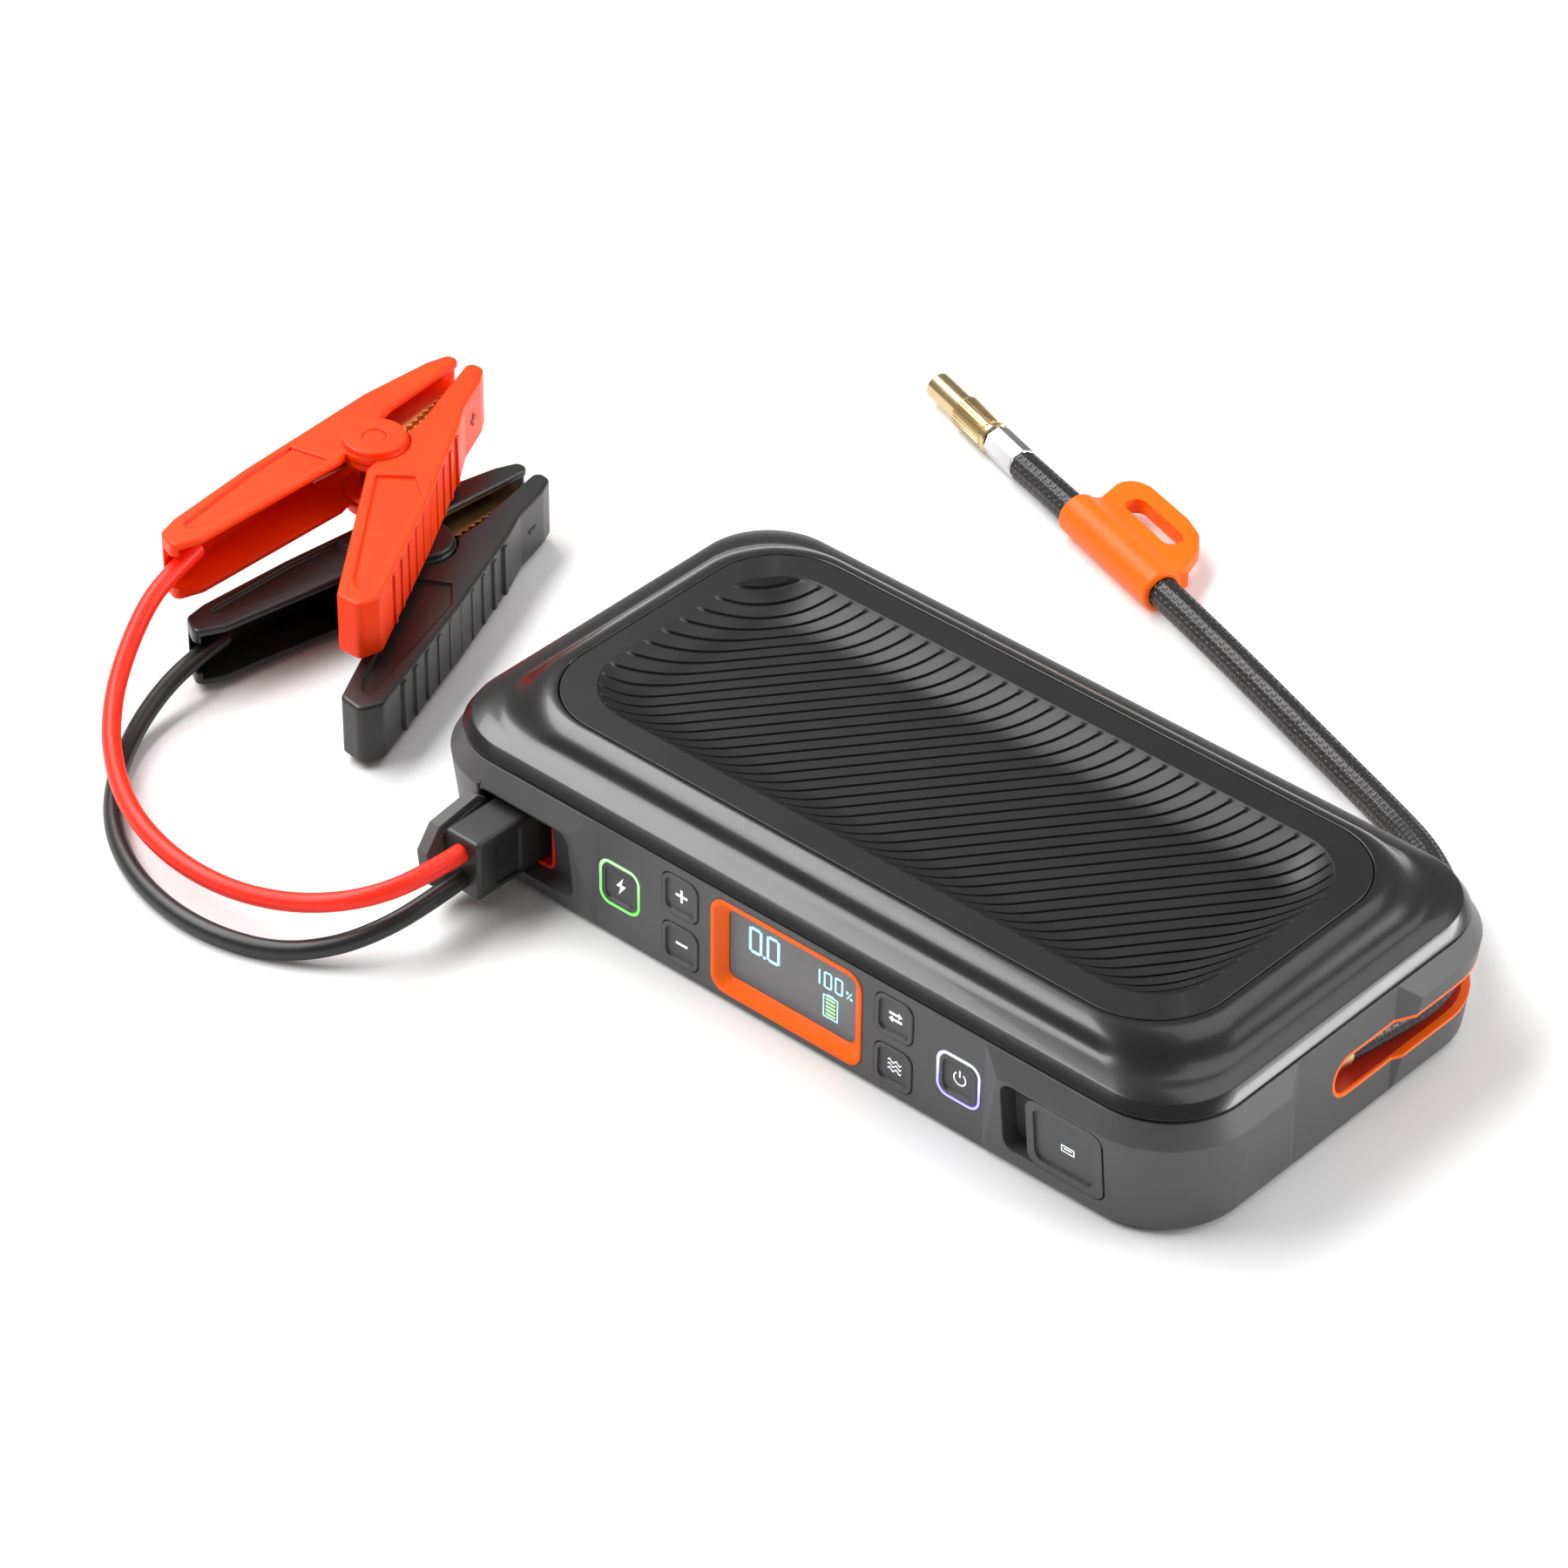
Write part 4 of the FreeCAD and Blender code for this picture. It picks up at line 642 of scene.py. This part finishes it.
def dish_rows():
    """Places across the grooves, each with its cut, from one end of the dish to the other."""
    reach = CORE_X * abs(ACROSS.x) + CORE_Y * abs(ACROSS.y) + DISH_ROUND
    count = math.ceil(reach / GROOVE_PITCH)
    groove = [(-GROOVE_HALF, 0), (-GROOVE_HALF + GROOVE_WALL, 1),
              (GROOVE_HALF - GROOVE_WALL, 1), (GROOVE_HALF, 0)]
    rib = [(GROOVE_PITCH * share, 0) for share in (0.3, 0.5, 0.7)]
    rows = [(i * GROOVE_PITCH + shift, cut) for i in range(-count, count + 1)
            for shift, cut in groove + rib]
    rows = [(w, cut) for w, cut in rows if abs(w) < reach - ROW_GAP]
    return [(-reach + END_GAP, 0)] + rows + [(reach - END_GAP, 0)]


def rim_point(point, inset, z):
    """The place on the mat's rim that lies outward of a point on the dish's outline."""
    x, y = point.x, point.y
    angle = math.atan2(max(abs(y) - CORE_Y, 0), max(abs(x) - CORE_X, 0))
    core_x = min(abs(x), CORE_X) * (RIM_X - RIM_ROUND) / CORE_X
    core_y = min(abs(y), CORE_Y) * (RIM_Y - RIM_ROUND) / CORE_Y
    corner = RIM_ROUND - inset
    return Vector((math.copysign(core_x + corner * math.cos(angle), x),
                   math.copysign(core_y + corner * math.sin(angle), y), z)) * MM


def grid_edge(rows, columns):
    """The points of a grid's outside edge in order, by their numbers."""
    last = (rows - 1) * columns
    return (list(range(columns)) + [i * columns + columns - 1 for i in range(1, rows)]
            + [last + k for k in range(columns - 2, -1, -1)]
            + [i * columns for i in range(rows - 2, 0, -1)])


def make_mat():
    """The grip mat: a dish of straight ribs under a flat rim."""
    rows = dish_rows()
    verts, faces = [], []
    for w, cut in rows:
        base = chord_base(w)
        start, stop = chord_end(base, -1), chord_end(base, 1)
        for k in range(MAT_COLUMNS):
            share = 0.5 - 0.5 * math.cos(math.pi * k / (MAT_COLUMNS - 1))
            point = base + ALONG * (start + (stop - start) * share)
            z = dish_height(inside_dish(point), cut)
            verts.append(Vector((point.x, point.y, z)) * MM)
    for i in range(len(rows) - 1):
        for k in range(MAT_COLUMNS - 1):
            a = i * MAT_COLUMNS + k
            faces.append((a, a + 1, a + 1 + MAT_COLUMNS, a + MAT_COLUMNS))
    edge = grid_edge(len(rows), MAT_COLUMNS)
    loops = [edge]
    for inset, z in ((RIM_EDGE, RIM_TOP), (0.0, RIM_TOP - RIM_EDGE), (0.0, MAT_BOTTOM)):
        start = len(verts)
        verts += [rim_point(verts[index] / MM, inset, z) for index in edge]
        loops.append(list(range(start, start + len(edge))))
    for inner, outer in zip(loops, loops[1:]):
        for k in range(len(edge)):
            n = (k + 1) % len(edge)
            faces.append((inner[n], inner[k], outer[k], outer[n]))
    faces.append(tuple(loops[-1][::-1]))
    mesh = closed_mesh("grip_mat_ribs", verts, faces)
    piece = add_piece("grip_mat_ribs", mesh, "pack", MAT_BLACK, smooth=35)
    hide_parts("grip_mat")


make_cover()
make_mat()


# ---------------------------------------------------------------- printed marks

def decal(name, shapes, origin, body, mat, turn=Matrix.Identity(3), thick=0.12):
    """Thin raised marks, drawn in millimetres on a face that looks to -Y until turned."""
    verts, faces = [], []
    for shape in shapes:
        start, count = len(verts), len(shape)
        for depth in (-thick / 2, thick / 2):
            for x, z in shape:
                verts.append((Vector(origin) + turn @ Vector((x, depth, z))) * MM)
        faces.append(tuple(start + k for k in range(count)))
        faces.append(tuple(start + count + k for k in range(count))[::-1])
        for k in range(count):
            n = (k + 1) % count
            faces.append((start + k, start + count + k, start + count + n, start + n))
    return add_piece(name, closed_mesh(name, verts, faces), body, mat)


def bar(x, z, wide, high):
    """A rectangle by its middle and its size."""
    return [(x - wide / 2, z - high / 2), (x + wide / 2, z - high / 2),
            (x + wide / 2, z + high / 2), (x - wide / 2, z + high / 2)]


def outline(x, z, wide, high, line):
    """Four bars that draw a rectangle."""
    return [bar(x, z + (high - line) / 2, wide, line), bar(x, z - (high - line) / 2, wide, line),
            bar(x - (wide - line) / 2, z, line, high - 2 * line),
            bar(x + (wide - line) / 2, z, line, high - 2 * line)]


def arc(radius, line, start, stop, steps=24):
    """A curved bar from one angle to another, in degrees."""
    angles = [math.radians(start + (stop - start) * i / steps) for i in range(steps + 1)]
    outer = [(radius * math.cos(a), radius * math.sin(a)) for a in angles]
    inner = [((radius - line) * math.cos(a), (radius - line) * math.sin(a)) for a in angles]
    return outer + inner[::-1]


def wave(z, line, half=2.3, rise=0.45, steps=18):
    """A bar with two full waves in it."""
    top = [(-half + 2 * half * i / steps, z + rise * math.sin(4 * math.pi * i / steps))
           for i in range(steps + 1)]
    return top + [(x, y - line) for x, y in top[::-1]]


BOLT = [(0.9, 3.1), (-1.8, -0.4), (-0.2, -0.4), (-0.9, -3.1), (1.8, 0.5), (0.2, 0.5)]
ARROW = [(-2.2, 0.5), (1.0, 0.5), (1.0, -0.2), (2.3, 0.9), (1.0, 2.0), (1.0, 1.3), (-2.2, 1.3)]
BACK_ARROW = [(-x, -z) for x, z in ARROW]
POWER = [arc(2.2, 0.45, 125, 415), bar(0, 1.5, 0.5, 2.2)]
DASH = bar(0, 0, 4.2, 0.8)
WAVES = [wave(z, 0.5) for z in (1.6, 0.2, -1.2)]
PORT = outline(0, 0, 4.4, 2.4, 0.36) + [bar(0, 0.15, 2.6, 0.5)]
PERCENT = [[(17.6, 1.6), (18.0, 1.6), (19.6, 4.0), (19.2, 4.0)], bar(17.9, 3.6, 0.7, 0.7),
           bar(19.3, 2.0, 0.7, 0.7)]
SEGMENTS = {"0": "abcdef", "1": "bc"}


def digit(sign, x, z, wide, high, line):
    """A seven-segment figure as slim bars with small gaps between them."""
    gap, half = line * 0.25, high / 2
    left, right = x - (wide - line) / 2, x + (wide - line) / 2
    upper, lower = z + half / 2 - line / 4, z - half / 2 + line / 4
    flat, tall = wide - 2 * line, half - line / 2 - gap
    places = {"a": bar(x, z + half - line / 2, flat, line),
              "d": bar(x, z - half + line / 2, flat, line),
              "b": bar(right, upper, line, tall), "c": bar(right, lower, line, tall),
              "f": bar(left, upper, line, tall), "e": bar(left, lower, line, tall)}
    return [places[segment] for segment in SEGMENTS[sign]]


def front_middle(node):
    """The middle of a node's front, in millimetres, from its box in the frame."""
    low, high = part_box(node)
    return Vector(((low.x + high.x) / 2, low.y, (low.z + high.z) / 2)) / MM


KEY_MARKS = {"jump": [BOLT], "usb": POWER,
             "plus": [DASH, bar(0, 1.25, 0.8, 1.7), bar(0, -1.25, 0.8, 1.7)],
             "minus": [DASH], "unit": [ARROW, BACK_ARROW], "air": WAVES}
KEY_DISH = Vector((0, 0.9, 0))
BAY_ORIGIN, BAY_TILT = Vector((92.6, -70.35, 17.7)), math.radians(6.25)
LID_FACE = Vector((4.5, 0.8, -0.6))
CLAMP_HEADINGS = {"black": math.radians(93.7), "red": math.radians(103.0)}
SIGN_PLACE, SIGN_SLOPE, SIGN_THICK = Vector((36, -10.95, 0)), math.atan2(3.1, 14), 0.4
# Each sign is coloured darker than its clamp: painted shade, standing for the shade inside a
# moulded sign.
SIGN_PAINTED_SHADE = {"red": plastic("sign_red_painted_shade", (0.3, 0.008, 0.0), 0.5),
        "black": plastic("sign_black_painted_shade", (0.004, 0.004, 0.004), 0.5)}
LARGE_DIGIT, SMALL_DIGIT, ONE_DIGIT = (4.6, 8.6, 0.85), (2.8, 5.4, 0.5), (2.6, 5.4, 0.5)
LARGE_Z, SMALL_Z, BATTERY_X, BATTERY_Z = 3.6, 4.0, 12.2, -4.6
BATTERY_BARS, BATTERY_STEP = 5, 1.25


def mark_keys():
    """The symbols in the keys' dished faces and on the lid of the USB bay."""
    for name, shapes in KEY_MARKS.items():
        decal(name + "_mark", shapes, front_middle(name + "_button") + KEY_DISH,
              name + "_key", WHITE_PRINT_PAINTED_GLOW)
    tilt = Matrix.Rotation(BAY_TILT, 3, "X")
    decal("lid_mark", PORT, BAY_ORIGIN + tilt @ LID_FACE, "usb_cover", WHITE_PRINT_PAINTED_GLOW, tilt)


def mark_clamps():
    """A plus on the red clamp's squeezed handle and a minus on the black one's, each coloured
    darker than its clamp as painted shade.
    """
    for colour, heading in CLAMP_HEADINGS.items():
        pivot = Vector(joints[colour + "_clamp_hinge"]["pos_m"]) / MM
        shapes = [bar(0, 0, 4.0, 1.2)]
        if colour == "red":
            shapes += [bar(0, 1.3, 1.2, 1.4), bar(0, -1.3, 1.2, 1.4)]
        place = pivot + Matrix.Rotation(heading, 3, "Z") @ SIGN_PLACE
        decal(colour + "_sign_painted_shade", shapes, place, colour + "_lever", SIGN_PAINTED_SHADE[colour],
              Matrix.Rotation(heading + SIGN_SLOPE, 3, "Z"), SIGN_THICK)


def mark_screen():
    """Pressure, charge and a battery, lit on the display."""
    origin = front_middle("display_panel")
    pressure = (digit("0", -14.2, LARGE_Z, *LARGE_DIGIT) + digit("0", -8.0, LARGE_Z, *LARGE_DIGIT)
                + [bar(-11.1, -0.3, 0.8, 0.8)])
    charge = (digit("1", 7.2, SMALL_Z, *ONE_DIGIT) + digit("0", 11.2, SMALL_Z, *SMALL_DIGIT)
              + digit("0", 15.0, SMALL_Z, *SMALL_DIGIT) + PERCENT)
    decal("screen_digits", pressure + charge, origin, "pack", CYAN)
    battery = outline(BATTERY_X, BATTERY_Z, 5.2, 7.4, 0.35) + [bar(BATTERY_X, -0.7, 2.2, 0.5)]
    decal("battery_outline", battery, origin, "pack", CYAN)
    decal("battery_bars", [bar(BATTERY_X, -7.1 + BATTERY_STEP * i, 3.2, 0.55)
                           for i in range(BATTERY_BARS)], origin, "pack", LIME)


mark_keys()
mark_clamps()
mark_screen()


# ---------------------------------------------------------------- soft edges

for name in KEY_MARKS:
    soft_copy(name + "_button", name + "_key", KEY, 0.35)
soft_copy("display_bezel", "pack", ORANGE, 0.4)


# ---------------------------------------------------------------- studio

FLOOR_HALF, FLOOR_DROP = 6.0, 0.0002
WORLD_STRENGTH = 0.33
PACK_MIDDLE = (0, 0, 0.02)


def make_stage():
    """A pale floor just under the object."""
    mesh = bpy.data.meshes.new("floor")
    half = FLOOR_HALF
    mesh.from_pydata([(-half, -half, 0), (half, -half, 0), (half, half, 0), (-half, half, 0)],
                     [], [(0, 1, 2, 3)])
    floor = bpy.data.objects.new("floor", mesh)
    bpy.context.scene.collection.objects.link(floor)
    mesh.materials.append(material("floor_pale", (0.86, 0.86, 0.86), 0.7))
    floor.location.z = -FLOOR_DROP


def area_light(name, location, target, size, power):
    """A rectangular light at a place, turned to face a target."""
    data = bpy.data.lights.new(name, "AREA")
    data.shape = "RECTANGLE"
    data.size, data.size_y = size
    data.energy = power
    light = bpy.data.objects.new(name, data)
    bpy.context.scene.collection.objects.link(light)
    light.location = location
    light.rotation_mode = "QUATERNION"
    light.rotation_quaternion = (Vector(target) - Vector(location)).to_track_quat("-Z", "Y")


def make_studio():
    """Even white surroundings, with a wide light on the front slope and a strip behind."""
    world = bpy.data.worlds.new("studio")
    bpy.context.scene.world = world
    world.use_nodes = True
    back = world.node_tree.nodes["Background"]
    back.inputs["Color"].default_value = (1, 1, 1, 1)
    back.inputs["Strength"].default_value = WORLD_STRENGTH
    area_light("front_slope", (-0.85, -0.25, 1.15), PACK_MIDDLE, (1.8, 0.7), 34)
    area_light("top", (0.3, 0.7, 1.3), PACK_MIDDLE, (1.0, 1.0), 6)
    area_light("right_rim", (1.15, 0.88, 0.46), (0.1, 0, 0.03), (1.4, 0.2), 17)


AZIMUTH, ELEVATION, ROLL = math.radians(41.571), math.radians(36.797), math.radians(0.621)
AIM, SHIFT_RIGHT, SHIFT_UP = Vector((0, 0, 0.027)), -0.04612, 0.01493
DISTANCE, LENS, SENSOR = 1.6218, 139.25, 36


def make_camera():
    """The photograph's viewpoint, as a turn about the pack's middle and a small roll."""
    back = Vector((math.sin(AZIMUTH) * math.cos(ELEVATION),
                   -math.cos(AZIMUTH) * math.cos(ELEVATION), math.sin(ELEVATION)))
    right = Vector((math.cos(AZIMUTH), math.sin(AZIMUTH), 0))
    up = back.cross(right)
    right, up = (right * math.cos(ROLL) + up * math.sin(ROLL),
                 up * math.cos(ROLL) - right * math.sin(ROLL))
    data = bpy.data.cameras.new("camera")
    data.lens, data.sensor_width = LENS, SENSOR
    data.clip_start, data.clip_end = 0.1, 20
    camera = bpy.data.objects.new("camera", data)
    bpy.context.scene.collection.objects.link(camera)
    turn = Matrix((right, up, back)).transposed().to_4x4()
    place = AIM + right * SHIFT_RIGHT + up * SHIFT_UP + back * DISTANCE
    camera.matrix_world = Matrix.Translation(place) @ turn
    bpy.context.scene.camera = camera


make_stage()
make_studio()
make_camera()
bpy.context.scene.view_settings.view_transform = "Standard"
